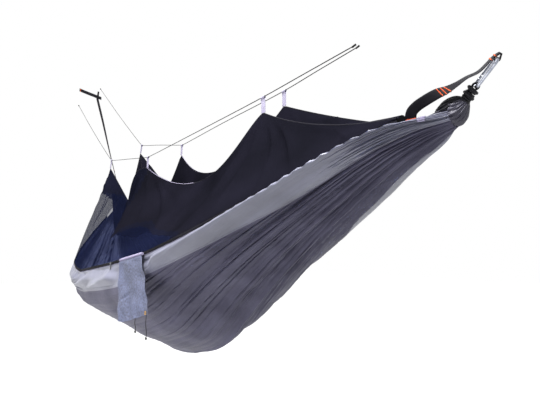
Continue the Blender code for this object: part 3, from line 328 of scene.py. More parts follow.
def section(across):
    """A section drawn straight, as shares of the half width and of the fall."""
    way = abs(across)
    if way > SIDE_ACROSS:
        down = (1 - way) / (1 - SIDE_ACROSS)
        return 1 - (1 - SIDE_OUT) * down, SIDE_FALL * down
    way /= SIDE_ACROSS
    return SIDE_OUT * way, 1 - (1 - SIDE_FALL) * way ** HOLLOW


def groove(across, share, crowd, seed, width):
    """Long narrow grooves between flat ridges, where a stretched noise changes its sign."""
    field = noise.noise(Vector((across * crowd + seed, share * 1.7, seed)))
    return min(abs(field) / width, 1)


def bed_wave(share, across):
    """The depth of the pleats at a place on the bed: broad ones and narrow ones."""
    broad = PLEAT_DEPTH * eased(PLEAT_TABLE, share, 1) * math.sin(across * PLEATS * math.pi)
    narrow = sum(depth * groove(across, share, crowd, seed, width)
                 for crowd, seed, width, depth in FINE_GROOVES) - FINE_MIDDLE
    seam = eased(SEAM_TABLE, share, 1)
    narrow *= 1 - 0.9 * smooth((abs(across) - seam + 0.05) / 0.05) * smooth((share - 0.03) / 0.09)
    return broad + FINE_DEPTH * eased(FINE_TABLE, share, 1) * narrow


def bed_plain(share, across):
    """The bed's cloth with its pleats: across runs from -1 at the front edge to 1 at the back."""
    side = math.copysign(1, across)
    full = eased(BELLY_TABLE, share, 2)
    straight_out, straight_fall = section(across)
    turn = abs(across) * math.pi / 2
    out = full * math.sin(turn) + (1 - full) * straight_out
    down = full * math.cos(turn) + (1 - full) * straight_fall
    wave = bed_wave(share, across) * smooth((1 - abs(across)) / 0.06)
    fall = BELLY_SAG * eased(BELLY_TABLE, share, 1) + edge_up(share, side)
    return hang(share, side * (bed_out(share, side) + wave) * out,
                edge_up(share, side) - (fall + wave) * down)


def side_relief(share, across):
    """How far a side panel stands out: its long roll, its puckers and the folds at its corner."""
    wide = 1 - eased(SEAM_TABLE, share, 1)
    part = (1 - abs(across)) / wide
    if part > 1.6:
        return 0
    calm = within(share, *SIDE_CALM) * (1 - SACK_CALM * within(share, *BEHIND_SACK))
    early = 0.6 + 0.3 * smooth((share - 0.1) / 0.2) + 0.4 * smooth((share - 0.4) / 0.2)
    roll = ROLL_DEPTH * math.sin(math.pi * min(part, 1) ** early) ** 1.6
    crest = 0.28 + 0.3 * smooth((share - 0.1) / 0.25) + 0.3 * smooth((share - 0.36) / 0.2)
    roll += CREST_DEPTH * math.exp(-((part - crest) / 0.19) ** 2)
    pucker = math.sin(TURN * share * SPAN / PUCKER_PITCH - 9 * part
                      + 5 * ripple(share * 7, across, 2, 1))
    pucker *= within(part, *PUCKER_PARTS) * (0.6 + ripple(share * 5, 1, 4, 1))
    turn = math.atan2(1.02 - part, (0.70 - share) * SPAN / 0.16)
    fold = math.sin(CORNER_FOLDS * turn + 4 * ripple(share * 4, part, 6, 1))
    fold *= within(share, *CORNER_SHARES) * within(part, *CORNER_PARTS)
    return calm * (roll + PUCKER_DEPTH * pucker + CORNER_FOLD * fold)


def bed_place(share, across):
    """The bed's cloth, drawn to its rounded edge, rolled at its sides and crumpled."""
    side = math.copysign(1, across)
    near = smooth((abs(across) - 0.75) / 0.25)
    point = bed_plain(share, across)
    point += (on_edge(share, side, 0) - edge_place(share, side, 0)) * near
    point += Vector((0, side, 0.25)) * side_relief(share, across)
    calm = within(share, *BED_CALM) * smooth((1 - abs(across)) / 0.07)
    rise = calm * CRUMPLE * sum(part * ripple(*point, scale) for scale, part in CRUMPLE_SCALES)
    return point + Vector((0, side * rise * abs(across), -rise * (1 - abs(across))))


def tape_top():
    """How high the net begins over the edge of the bed."""
    return 2 * EDGE_GAP + TAPE_TALL


def line_places(side_name):
    """The chosen places of a ridge line at their real size."""
    return [hang(share, SPAN * out, SPAN * up) for share, out, up in LINES[side_name]]


def loop_frame(side_name, index):
    """Where a loop hangs on its line: the place, along the line, across it and up."""
    places = line_places(side_name)
    along = (places[index - 1] - places[index + 1]).normalized()
    side = along.cross(Vector((0, 0, 1))).normalized()
    return places[index], along, side, side.cross(along).normalized()


def net_supports(side_name, side):
    """Where a hem is held: at the head, at its three loops and at the foot."""
    held = [on_edge(NET_EDGES[0], side, tape_top() + NET_HEAD_RISE)]
    for loop_name, index in LOOP_PLACES:
        point, along, across, up = loop_frame(side_name, index)
        held.append(point - up * LOOP_DROP - Vector((0, 0, GAP + NET_THICK / 2)))
    share, out, up = NET_FOOT
    return held + [hang(share, side * out, up)]


HELD = {side: net_supports(name, side) for side, name in SIDES}


def hem_sag(side, row, way):
    """The shape of a hem's sag: even, or on the front one drawn straighter and into a corner."""
    even = 4 * way * (1 - way)
    if side > 0 or row in (0, 3):
        return even
    if row == 1:
        return even ** HEM_DRAWN if way < 0.5 else even
    return (way / HEM_LOW) ** HEM_CUSP if way < HEM_LOW else (1 - way) / (1 - HEM_LOW)


def hem_place(side, share, parting):
    """The hem between its supports: it sags and draws in, and is parted from its neighbour."""
    row, way = stretch(NET_EDGES, share)
    sag = hem_sag(side, row, way)
    held = HELD[side]
    return held[row].lerp(held[row + 1], way) + Vector(
        (0, side * (parting - HEM_DRAWS[row] * sag), -HEM_SAGS[side][row] * sag))


def fan(side, share, depth, seed):
    """Folds that run out from the three loops of a hem, by how far below it a place lies."""
    total = 0
    for index, peak in enumerate(NET_EDGES[1:4]):
        aside = (share - peak) * SPAN
        reach = math.hypot(aside, depth)
        turn = math.atan2(aside, depth + 0.02) * (1 + 1.3 * reach)
        crease = abs(math.sin(turn * FAN_FOLDS / 2 + seed + index + ripple(turn, seed, side, 2)))
        fade = math.exp(-(reach / FAN_REACH) ** 2) * smooth(reach / 0.09)
        total += (1 - 2 * crease ** 0.6) * fade
    return FAN_DEPTH * total


def panel_place(side):
    """The place function of a net panel, from its tape up to its hem."""
    def place(share, way):
        row, part = stretch(NET_EDGES, share)
        low = on_edge(share, side, tape_top())
        high = hem_place(side, share, NET_THICK / 2 + GAP)
        tall = (high - low).length
        belly = 4 * way * (1 - way)
        fold = FOLD_DEPTH * math.sin(TURN * FOLDS * part)
        bow = tall * (NET_BOWS[row] + (NET_BOWS[row + 1] - NET_BOWS[row]) * part)
        fold += fan(side, share, (1 - way) * tall, 0.3) * min(1, 2.2 * belly)
        slack = SLACK_DEPTH * math.sin(9 * tall * way + 3 * ripple(share * 3, way, side, 1))
        return low.lerp(high, way) + Vector((0, side * (fold + slack * belly - bow), -bow)) * belly
    return place


def roof_place(share, way):
    """The net between the two hems, slack in the middle, with swags and an open foot end."""
    row, part = stretch(NET_EDGES, share)
    along = (row + part) / ROOF_STRETCHES
    first = hem_place(-1, share, -NET_THICK / 2 - GAP)
    last = hem_place(1, share, -NET_THICK / 2 - GAP)
    belly = 4 * way * (1 - way)
    lean = Vector((*ROOF_LEAN, 0)) * eased(ROOF_TABLE, along, 2)
    drop = -ROOF_SAG * eased(ROOF_TABLE, along, 1) - HEAD_RISE - (first.z + last.z) / 2
    broad = (last - first).length
    side = -1 if way < 0.5 else 1
    folds = fan(side, share, min(way, 1 - way) * broad, 2.1)
    swag = SWAG_DEPTH * math.sin(5 * math.pi * way + 2 * ripple(share * 4, way * 2, 7, 1))
    lift = (folds + swag) * min(1, 3 * belly)
    return first.lerp(last, way) + Vector((0, 0, drop * belly + lift)) + lean * belly * belly


def smooth_route(points, steps):
    """Evenly many points on a smooth curve through the points of a route."""
    points = [Vector(point) for point in points]
    ends = [points[0] * 2 - points[1]] + points + [points[-1] * 2 - points[-2]]
    knots = [0.0]
    for here, there in zip(ends, ends[1:]):
        knots.append(knots[-1] + math.sqrt((there - here).length))
    route = []
    for stop in spread(knots[1], knots[-2], steps):
        row = bisect_left(knots, stop, 2, len(points)) - 2
        level, near = ends[row:row + 4], knots[row:row + 4]
        for first, width in ((0, 1), (0, 2), (1, 1)):
            level = [here.lerp(there, (stop - near[at]) / (near[at + width] - near[at]))
                     for at, (here, there) in enumerate(zip(level, level[1:]), first)]
        route.append(level[0])
    return route


def add(tree, kind, inputs=None, **settings):
    """Add a node and give its outputs; an input given as a socket is linked, else it is set."""
    node = tree.nodes.new(kind)
    for label, value in settings.items():
        setattr(node, label, value)
    for label, value in (inputs or {}).items():
        if isinstance(value, bpy.types.NodeSocket):
            tree.links.new(value, node.inputs[label])
        else:
            node.inputs[label].default_value = value
    return node.outputs


def shade(code):
    """A web colour, which is sRGB, as linear red, green, blue and a full alpha."""
    channels = [int(code[place:place + 2], 16) / 255 for place in (0, 2, 4)]
    return [*(channel / 12.92 if channel < 0.04045 else ((channel + 0.055) / 1.055) ** 2.4
              for channel in channels), 1]


def finish(name, roughness, metallic=0.0, **shader_values):
    """A material with its tree, its shader's inputs and its own coordinates."""
    material = bpy.data.materials.new(name)
    material.use_nodes = True
    tree = material.node_tree
    shader = tree.nodes["Principled BSDF"].inputs
    values = {"Roughness": roughness, "Metallic": metallic, **shader_values}
    for label, value in values.items():
        shader[label.replace("_", " ")].default_value = value
    return material, tree, shader, add(tree, "ShaderNodeTexCoord")


def drift(tree, place, scale, pale, deep, detail=4.0):
    """A colour that wanders between two codes; scale counts its patches in a metre."""
    cloud = add(tree, "ShaderNodeTexNoise", {"Vector": place, "Scale": scale, "Detail": detail})
    ramp = tree.nodes.new("ShaderNodeValToRGB")
    tree.links.new(cloud["Fac"], ramp.inputs["Fac"])
    for stop, position, code in zip(ramp.color_ramp.elements, DRIFT_STOPS, (deep, pale)):
        stop.position = position
        stop.color = shade(code)
    return ramp.outputs["Color"]


def threads(tree, coat, spacing):
    """Crossing threads over the cloth's own UV, which is in metres; spacing is thread to thread."""
    pitch = TURN / 20 / spacing
    rows = [add(tree, "ShaderNodeTexWave", {"Vector": coat, "Scale": pitch, "Distortion": 0.4},
                bands_direction=way)["Fac"] for way in ("X", "Y")]
    return add(tree, "ShaderNodeMath", {0: rows[0], 1: rows[1]}, operation="MAXIMUM")[0]


def raised(tree, shader, height, depth, strength):
    """Give a shader its relief; depth is in metres."""
    bump = add(tree, "ShaderNodeBump", {"Height": height, "Distance": depth, "Strength": strength})
    tree.links.new(bump["Normal"], shader["Normal"])


def painted_relief_light(tree, shader, colour, relief, reach):
    """Give a shader a colour that a relief makes darker and lighter within a reach: painted shade in
    the relief's hollows and painted highlight on its tops.
    """
    dim = add(tree, "ShaderNodeMapRange", {"Value": relief, **reach})["Result"]
    tint = add(tree, "ShaderNodeVectorMath", {0: colour, 1: dim}, operation="MULTIPLY")
    tree.links.new(tint["Vector"], shader["Base Color"])


def mixed(tree, shader, factor, first, second):
    """Give a shader a blend of two colours."""
    blend = add(tree, "ShaderNodeMix", {"Factor": factor, "A": first, "B": second},
                data_type="RGBA")
    tree.links.new(blend["Result"], shader["Base Color"])


def crumpled(tree, shader, coat, cross, weave, scale, depth, strength):
    """Raise a shader's threads over soft crumples; scale counts the crumples in a metre."""
    folds = add(tree, "ShaderNodeTexNoise",
                {"Vector": coat["Object"], "Scale": scale, "Detail": 3.0})
    height = add(tree, "ShaderNodeMath", {0: cross, 1: weave, 2: folds["Fac"]},
                 operation="MULTIPLY_ADD")
    raised(tree, shader, height[0], depth, strength)


def woven(name, pale, deep, spacing, roughness, crumple, weave=0.35, **shader_values):
    """Woven cloth: two colours it wanders between, its thread spacing and its crumple in metres."""
    shader_values.setdefault("Specular_IOR_Level", 0.1)
    material, tree, shader, coat = finish(name, roughness, **shader_values)
    cross = threads(tree, coat["UV"], spacing)
    # Painted shade between the threads and painted highlight on them, from the relief that also
    # drives the bump
    painted_relief_light(tree, shader, drift(tree, coat["Object"], 7.0, pale, deep), cross,
           {"To Min": 0.86, "To Max": 1.06})
    crumpled(tree, shader, coat, cross, weave, 1 / crumple, 0.0012, 0.5)
    return material


def heathered(name, pale, deep, middle, scale, roughness):
    """Blotchy cloth: a fine mottle of two colours over a slower drift; scale counts in a metre."""
    material, tree, shader, coat = finish(name, roughness)
    slow = drift(tree, coat["Object"], scale / 8, pale, middle)
    mixed(tree, shader, 0.55, slow, drift(tree, coat["UV"], scale * 2.2, pale, deep, 6.0))
    crumpled(tree, shader, coat, threads(tree, coat["UV"], 0.0028), 0.3, scale, 0.0025, 0.7)
    return material


def netting(name, pale, deep, spacing, cover):
    """Knitted netting, as an even veil of some cover; its threads show in relief, with a painted
    highlight on the threads and painted shade in the holes between them.
    """
    material, tree, shader, coat = finish(name, 0.7, Alpha=cover, Specular_IOR_Level=0.0)
    mesh = add(tree, "ShaderNodeTexVoronoi",
               {"Vector": coat["UV"], "Scale": 1 / spacing, "Randomness": 0.15},
               feature="DISTANCE_TO_EDGE", voronoi_dimensions="2D")["Distance"]
    painted_relief_light(tree, shader, drift(tree, coat["Object"], 3.0, pale, deep), mesh,
           {"From Max": 0.3, "To Min": 1.25, "To Max": 0.8})
    raised(tree, shader, mesh, -0.0008, 0.4)
    return material


def braided(name, pale, deep, spacing, roughness):
    """Braided cord: strands that cross slantwise round it, over its own UV in metres, painted paler
    on their raised crests as a highlight and darker in the grooves between them as shade.
    """
    material, tree, shader, coat = finish(name, roughness, Specular_IOR_Level=0.2)
    slanted = add(tree, "ShaderNodeMapping",
                  {"Vector": coat["UV"], "Rotation": (0, 0, math.radians(45))})
    cross = threads(tree, slanted["Vector"], spacing)
    mixed(tree, shader, cross, shade(deep), shade(pale))
    raised(tree, shader, cross, 0.0006, 0.8)
    return material


def metal(name, pale, deep, roughness, grain):
    """Metal with fine scuffs; grain counts them in a metre."""
    material, tree, shader, coat = finish(name, roughness, 1.0)
    tree.links.new(drift(tree, coat["Object"], 120.0, pale, deep), shader["Base Color"])
    scuffs = add(tree, "ShaderNodeTexNoise",
                 {"Vector": coat["Object"], "Scale": grain, "Detail": 5.0})["Fac"]
    gloss = add(tree, "ShaderNodeMapRange",
                {"Value": scuffs, "To Min": roughness * 0.6, "To Max": roughness * 1.7})
    tree.links.new(gloss["Result"], shader["Roughness"])
    raised(tree, shader, scuffs, 0.00003, 0.15)
    return material


def belong(piece, body, slot, nodes):
    """Link a piece and let it ride on a body, or fix it in place where body gives a blend, and hide
    the nodes it stands for; its slot is not used.
    """
    bpy.context.scene.collection.objects.link(piece)
    if isinstance(body, dict):
        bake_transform(piece)
    elif body:
        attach(piece, body)
    if nodes:
        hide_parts(*nodes)
    return piece


def piece_of(name, mesh, materials, body=None, slot=None, nodes=()):
    """Make an object of a finished mesh."""
    data = bpy.data.meshes.new(name)
    mesh.to_mesh(data)
    mesh.free()
    data.shade_smooth()
    data.set_sharp_from_angle(angle=math.radians(50))
    for material in materials:
        data.materials.append(material)
    return belong(bpy.data.objects.new(name, data), body, slot, nodes)


def measured(route):
    """How far along a route each of its points lies."""
    reaches = [0.0]
    for here, there in zip(route, route[1:]):
        reaches.append(reaches[-1] + (there - here).length)
    return reaches


def shell(name, layers, flat, materials, body, slot, nodes):
    """Close two like grids of places into one sheet; flat holds a UV in metres for each place."""
    mesh = bmesh.new()
    coat = mesh.loops.layers.uv.new("cloth")
    upper, lower = [[[mesh.verts.new(point) for point in line] for line in layer]
                    for layer in layers]
    spots = {vert: spot for layer in (upper, lower) for line, marks in zip(layer, flat)
             for vert, spot in zip(line, marks)}
    rows, columns = len(flat) - 1, len(flat[0]) - 1
    for row in range(rows):
        for column in range(columns):
            ring = [(row, column), (row + 1, column), (row + 1, column + 1), (row, column + 1)]
            mesh.faces.new([upper[high][wide] for high, wide in ring])
            face = mesh.faces.new([lower[high][wide] for high, wide in ring[:1] + ring[:0:-1]])
            face.material_index = len(materials) - 1
    rim = [(0, column) for column in range(columns)]
    rim += [(row, columns) for row in range(rows)]
    rim += [(rows, column) for column in range(columns, 0, -1)]
    rim += [(row, 0) for row in range(rows, 0, -1)]
    for here, there in zip(rim, rim[1:] + rim[:1]):
        mesh.faces.new([layer[row][column] for layer, (row, column) in
                        ((upper, here), (upper, there), (lower, there), (lower, here))])
    for face in mesh.faces:
        for corner in face.loops:
            corner[coat].uv = spots[corner.vert]
    bmesh.ops.recalc_face_normals(mesh, faces=mesh.faces)
    return piece_of(name, mesh, materials, body, slot, nodes)


def cloth(name, place, along, across, thick, materials, body, slot, nodes=()):
    """A sheet of cloth through place(u, v), with a UV in metres; its underside may differ."""
    grid = [[place(u, v) for v in across] for u in along]
    run = measured([line[len(across) // 2] for line in grid])
    flat = [[(reach, breadth) for breadth in measured(line)] for reach, line in zip(run, grid)]
    sides = ([], [])
    for row, line in enumerate(grid):
        before, after = grid[max(row - 1, 0)], grid[min(row + 1, len(grid) - 1)]
        lifts = []
        for column in range(len(line)):
            aside = line[min(column + 1, len(line) - 1)] - line[max(column - 1, 0)]
            ahead = after[column] - before[column]
            lifts.append(ahead.cross(aside).normalized() * thick / 2)
        sides[0].append([point + lift for point, lift in zip(line, lifts)])
        sides[1].append([point - lift for point, lift in zip(line, lifts)])
    return shell(name, sides, flat, materials, body, slot, nodes)


def skinned(name, rings, reaches, turns, material, body, slot, nodes=(), closed=False):
    """Skin rings of points, with a UV from how far along and how far round each point lies."""
    mesh = bmesh.new()
    coat = mesh.loops.layers.uv.new("cloth")
    verts = [[mesh.verts.new(point) for point in ring] for ring in rings]
    count = len(rings[0])
    rows = [*range(len(rings)), *([0] if closed else [])]
    for here, there in zip(rows, rows[1:]):
        for corner in range(count):
            after = (corner + 1) % count
            face = mesh.faces.new((verts[here][corner], verts[here][after],
                                   verts[there][after], verts[there][corner]))
            places = ((here, corner), (here, corner + 1), (there or -1, corner + 1),
                      (there or -1, corner))
            for loop, (reach, turn) in zip(face.loops, places):
                loop[coat].uv = (reaches[reach], turns[turn])
    for row in () if closed else (0, -1):
        for loop in mesh.faces.new(verts[row]).loops:
            loop[coat].uv = (reaches[row], 0)
    bmesh.ops.recalc_face_normals(mesh, faces=mesh.faces)
    return piece_of(name, mesh, [material], body, slot, nodes)


def each(value, count):
    """A value for each of a number of places, unless it is a list of them already."""
    return value if isinstance(value, list) else [value] * count


def webbing_axes(ahead, across):
    """Axes of webbing: along its run, across it and square to its face."""
    along = ahead.normalized()
    side = (across - along * across.dot(along)).normalized()
    return along, side, along.cross(side)


def strap(name, route, across, widths, thick, material, body, slot, nodes=(), closed=False):
    """Webbing along a route, with rounded edges: across gives its width's direction."""
    count = len(route)
    rings = []
    for index, (point, side, width) in enumerate(
            zip(route, each(across, count), each(widths, count))):
        before = route[index - 1] if closed or index else point
        after = route[(index + 1) % count] if closed or index < count - 1 else point
        along, side, flat = webbing_axes(after - before, side)
        rings.append([point + side * wide * width + flat * high * thick
                      for wide, high in WEBBING_PROFILE])
    turns = [wide * STRAP_WIDTH for wide, high in WEBBING_PROFILE + WEBBING_PROFILE[:1]]
    return skinned(name, rings, measured(route), turns, material, body, slot, nodes, closed)


def tube(name, route, radii, sides, material, body, slot, nodes=()):
    """A round piece along a route, with one radius or one at each point."""
    last = len(route) - 1
    radii = each(radii, last + 1)
    rings = []
    normal = (route[1] - route[0]).orthogonal()
    for index, point in enumerate(route):
        along = (route[min(index + 1, last)] - route[max(index - 1, 0)]).normalized()
        normal = (normal - along * normal.dot(along)).normalized()
        other = along.cross(normal)
        rings.append([point + radii[index] * (normal * math.cos(turn) + other * math.sin(turn))
                      for turn in circle(sides)])
    turns = spread(0, TURN * max(radii), sides)
    return skinned(name, rings, measured(route), turns, material, body, slot, nodes)


def stitch_tree():
    """Beads of thread along paths; their spacing, length and thickness are its inputs."""
    tree = bpy.data.node_groups.new("stitch_row", "GeometryNodeTree")
    for label, kind in (("Paths", "Geometry"), ("Spacing", "Float"), ("Long", "Float"),
                        ("Thick", "Float"), ("Thread", "Material")):
        tree.interface.new_socket(label, in_out="INPUT", socket_type=f"NodeSocket{kind}")
    tree.interface.new_socket("Beads", in_out="OUTPUT", socket_type="NodeSocketGeometry")
    given = add(tree, "NodeGroupInput")
    points = add(tree, "GeometryNodeCurveToPoints",
                 {"Curve": given["Paths"], "Length": given["Spacing"]}, mode="LENGTH")
    bead = add(tree, "GeometryNodeMeshUVSphere", {"Segments": 6, "Rings": 4, "Radius": 0.5})
    size = add(tree, "ShaderNodeCombineXYZ",
               {"X": given["Thick"], "Y": given["Thick"], "Z": given["Long"]})
    row = add(tree, "GeometryNodeInstanceOnPoints",
              {"Points": points["Points"], "Instance": bead["Mesh"],
               "Rotation": points["Rotation"], "Scale": size["Vector"]})
    whole = add(tree, "GeometryNodeRealizeInstances", {"Geometry": row["Instances"]})
    painted = add(tree, "GeometryNodeSetMaterial",
                  {"Geometry": whole["Geometry"], "Material": given["Thread"]})
    add(tree, "NodeGroupOutput", {"Beads": painted["Geometry"]})
    return tree


STITCHES = stitch_tree()


def stitched(name, paths, bead, thread, body, slot):
    """Run the stitch tree along paths and keep its beads as a plain mesh."""
    curve = bpy.data.curves.new(name, "CURVE")
    curve.dimensions = "3D"
    for path in paths:
        line = curve.splines.new("POLY")
        line.points.add(len(path) - 1)
        for stop, point in zip(line.points, path):
            stop.co = (*point, 1)
    guide = bpy.data.objects.new(f"{name}_guide", curve)
    bpy.context.scene.collection.objects.link(guide)
    step = guide.modifiers.new("stitches", "NODES")
    step.node_group = STITCHES
    values = dict(zip(("Spacing", "Long", "Thick", "Thread"), (*bead, thread)))
    for socket in STITCHES.interface.items_tree:
        if socket.in_out == "INPUT" and socket.name in values:
            step[socket.identifier] = values[socket.name]
    guide.update_tag()
    evaluated = guide.evaluated_get(bpy.context.evaluated_depsgraph_get())
    data = bpy.data.meshes.new_from_object(evaluated)
    bpy.data.objects.remove(guide)
    if not data.materials:
        data.materials.append(thread)
    data.shade_smooth()
    return belong(bpy.data.objects.new(name, data), body, slot, ())


def bar(middle, reach, steps=16):
    """A short straight path for a row of stitches."""
    return [middle + reach * way for way in spread(-1, 1, steps)]


def axes(place, *ways):
    """A frame at a place, by its three axes."""
    matrix = Matrix(ways).transposed().to_4x4()
    matrix.translation = place
    return matrix


def pull_frame(end):
    """A frame on a suspension at its hook's near end: x along its pull, y in the hook's plane."""
    pull = (-FOOT_REACH, 0, FOOT_RISE) if end else (HEAD_REACH, 0, HEAD_RISE)
    along = Vector(pull).normalized()
    side = Vector((0, 1, 0))
    matrix = axes(hang(end, 0, 0) + along * HOOK_PLACE, along, side, along.cross(side))
    return matrix @ Matrix.Rotation(HOOK_TURNS[end], 4, "X")


def camera():
    """The photograph's own view: its place, its axes and its lens."""
    data = bpy.data.cameras.new("photo_view")
    data.lens = 28
    data.sensor_width = 36
    data.clip_end = 60
    view = bpy.data.objects.new("photo_view", data)
    right, up = Vector((0.592, 0.806, 0)).normalized(), Vector((0.0903, -0.0664, 0.9937))
    back = right.cross(up).normalized()
    view.matrix_world = axes((0.381, -0.8675, -0.4009), right, back.cross(right), back)
    bpy.context.scene.collection.objects.link(view)
    bpy.context.scene.camera = view


def knot(name, tip, away, length, thick, material, body, nodes=()):
    """A small overhand knot: two crossing lumps on the cord's end, and the end that stands out."""
    side = away.orthogonal().normalized()
    other = away.cross(side)
    route = [tip + away * length * (0.5 + 0.378 * math.sin(2 * turn))
             + (side * math.cos(turn) + other * math.sin(turn) * math.cos(turn)) * thick * 0.30
             for turn in spread(0, TURN, 40)]
    route = [tip] + route[3:-3] + [tip + away * length]
    return tube(name, route, thick * 0.24, 8, material, body, "line_cord", nodes)


def ridge_lines(braid):
    """Both ridge lines, taut through their loops, with a knot at each end."""
    for side_name in ("front", "back"):
        route = smooth_route(line_places(side_name), 150)
        line = tube(f"taut_line_{side_name}", route, LINE_THICK / 2, 10, braid, "rigging",
                    "line_cord", [f"ridge_line_{side_name}"])
        knots = [knot(f"line_knot_{side_name}_{end_name}", tip, (tip - inner).normalized(),
                      KNOT_LENGTH, KNOT_THICK, braid, "rigging",
                      [f"ridge_knot_{side_name}_{end_name}"])
                 for end_name, tip, inner in (("head", *route[:2]), ("foot", *route[:-3:-1]))]
        measured(route)[-1]


def sack_out():
    """The way out from the bed at the sack."""
    return edge_frame(SACK_FROM, -1)[1]


def bar_place(way):
    """A place on the middle line of the sack's bar, from its foot end to its head end."""
    share = SACK_FROM + (SACK_TO - SACK_FROM) * way
    aside = edge_frame(share, -1)[1] * (TAPE_THICK / 2 + GAP + BAR_THICK / 2)
    return cut_edge(share, -1, EDGE_GAP + TAPE_TALL / 2) + aside


def sack_place(across, down):
    """The middle of the sack's cloth: across runs towards the head, down from its bar."""
    wide = (bar_place(1) - bar_place(0)) * (1 + SACK_SPREAD * down)
    crease = SACK_CREASE * math.sin(TURN * SACK_CREASES * across) * down
    away = sack_out() * (SACK_STAND_OFF + SACK_FLARE * down + crease)
    fall = BAR_THICK / 2 + GAP + SACK_DROP * (1 - SACK_SLANT * across) * down
    return bar_place(0) + wide * across + away + Vector((SACK_SKEW * down, 0, -fall))


def sack_cords(braid):
    """The two cord ends that hang below the sack, each with a knot."""
    out = sack_out()
    for cord_name, across, length in SACK_CORDS:
        top = sack_place(across, 1) - Vector((0, 0, GAP))
        route = [top + out * SACK_CORD_SWAY * math.sin(TURN * way) * way
                 - Vector((0, 0, length * way)) for way in spread(0, 1, 28)]
        line = tube(f"sack_tie_{cord_name}", route, SACK_CORD_THICK / 2, 8, braid, "sack",
                    "line_cord", [f"sack_cord_{cord_name}"])
        bead = knot(f"sack_tie_knot_{cord_name}", route[-3], Vector((0, 0, -1)), *SACK_KNOT,
                    braid, "sack")
        tuple(route[0])


def bed(outer, side_outer, underside_painted_light, thread):
    """The bed of three panels, its two lengthwise seams and their stitches."""
    for name, side, columns, cover, slot, wide, reach in (
            ("bed_centre_{}", 0, 230, outer, "centre_cloth", CENTRE_WIDTH, (-1, 1)),
            ("bed_side_{}_front", -1, 60, side_outer, "side_cloth", SIDE_WIDTH, (1, 0)),
            ("bed_side_{}_back", 1, 60, side_outer, "side_cloth", SIDE_WIDTH, (0, 1))):
        def place(share, way, side=side):
            seam = eased(SEAM_TABLE, share, 1)
            return bed_place(share, side * (seam + (1 - seam) * way) if side else seam * way)
        # Each panel's underside takes the inner-side copy, painted paler and bluer as light
        piece = cloth(name.format("cloth"), place, crowded(0, 1, 200), spread(*reach, columns),
                      BED_THICK, (cover, underside_painted_light), "bed", slot, [name.format("panel")])
    seams, edges = [], []
    for side, name in SIDES:
        def seam(share, way, side=side):
            across = side * (eased(SEAM_TABLE, share, 1) + SEAM_SHARE * (way - 0.5))
            return bed_place(share, across) + Vector((0, side * BED_THICK, -0.0007))
        cloth(f"bed_seam_{name}", seam, crowded(0.012, 0.988, 190), (0, 0.5, 1), 0.0009,
              [side_outer], "bed", "side_cloth")
        seams.append([seam(share, 0.5) + Vector((0, side * 0.0008, 0))
                      for share in crowded(0.02, 0.98, 260)])
        edges.append([on_edge(share, side, EDGE_GAP) + Vector((0, side * 0.0018, 0))
                      for share in crowded(0.04, 0.94, 260)])
    stitched("bed_seam_stitches", seams, SEAM_BEADS, thread, "bed", "side_cloth")
    stitched("bed_edge_stitches", edges, EDGE_BEADS, thread, "bed", "band_cloth")


def bed_trim(name, node, shares, columns, inward, thick, material, slot):
    """A strip on the bed's cloth; inward is 1 on its inside and -1 on its outside."""
    def place(share, across):
        aside = bed_place(share, across + 0.002) - bed_place(share, across - 0.002)
        normal = Vector((0, -aside.z, aside.y)).normalized()
        return bed_place(share, across) + normal * inward * (0.0011 + thick / 2)
    cloth(name, place, shares, columns, thick, [material], "bed", slot, [node])


def gathers(outer):
    """The bunched cloth at each end: deep flutes that run into the cord, drawn to its pull."""
    for end, (end_name, side) in enumerate(ENDS):
        pull = pull_frame(end).col[0].xyz
        middle = hang(end, 0, 0) + Vector((side * GAP, 0, 0))
        rings = []
        for way in spread(1, 1 / 12, 11):
            share = abs(end - GATHER_SHARE * way)
            ring = []
            for turn in circle(FLUTE_STEPS):
                flute = 1 - FLUTE_DEPTH * abs(math.sin(FLUTES * turn + ripple(turn, 0, 1, 1))) ** 4
                high = math.cos(turn)
                tall = GATHER_RADIUS * (1 - way) if high > 0 else BELLY_SAG * 0.85 * eased(
                    BELLY_TABLE, share, 1) + edge_up(share, -1)
                wide = bed_out(share, -1 if math.sin(turn) < 0 else 1) * 0.82
                ring.append(hang(share, wide * math.sin(turn) * flute,
                                 edge_up(share, -1) * 0.8 + tall * high * flute))
            rings.append(ring)
        for way in spread(0, 1, 22):
            bulge = side * GATHER_BULGE * math.sin(way * math.pi / 2) * (1 - 0.55 * way)
            centre = middle + Vector((bulge, 0, 0)) + pull * 0.026 * way * way
            ring = []
            for turn in circle(FLUTE_STEPS):
                broad = abs(math.sin(FLUTES * turn + 1.4 * way + ripple(turn, way, 1, 1))) ** 4
                narrow = abs(math.sin(CREASES * turn - way)) ** 3
                flute = 1 - FLUTE_DEPTH * broad - CREASE_DEPTH * narrow \
                    + 0.06 * ripple(turn, way, side, 2)
                reach = flute * (GATHER_RADIUS * (1 - way) ** 0.8 * (1 + 0.5 * way * (1 - way))
                                 + 0.0085 * way)
                ring.append(centre + reach * Vector((-0.35 * side * way * math.cos(turn),
                                                     math.sin(turn), math.cos(turn))))
            rings.append(ring)
        turns = spread(0, TURN * GATHER_RADIUS, FLUTE_STEPS)
        # The bunched cloth wears the darker copy, with the shade of its folds painted into its
        # colour
        skinned(f"{end_name}_bunch", rings, spread(0, 0.09, 34), turns, outer, "bed",
                "centre_cloth", [f"{end_name}_gather"])


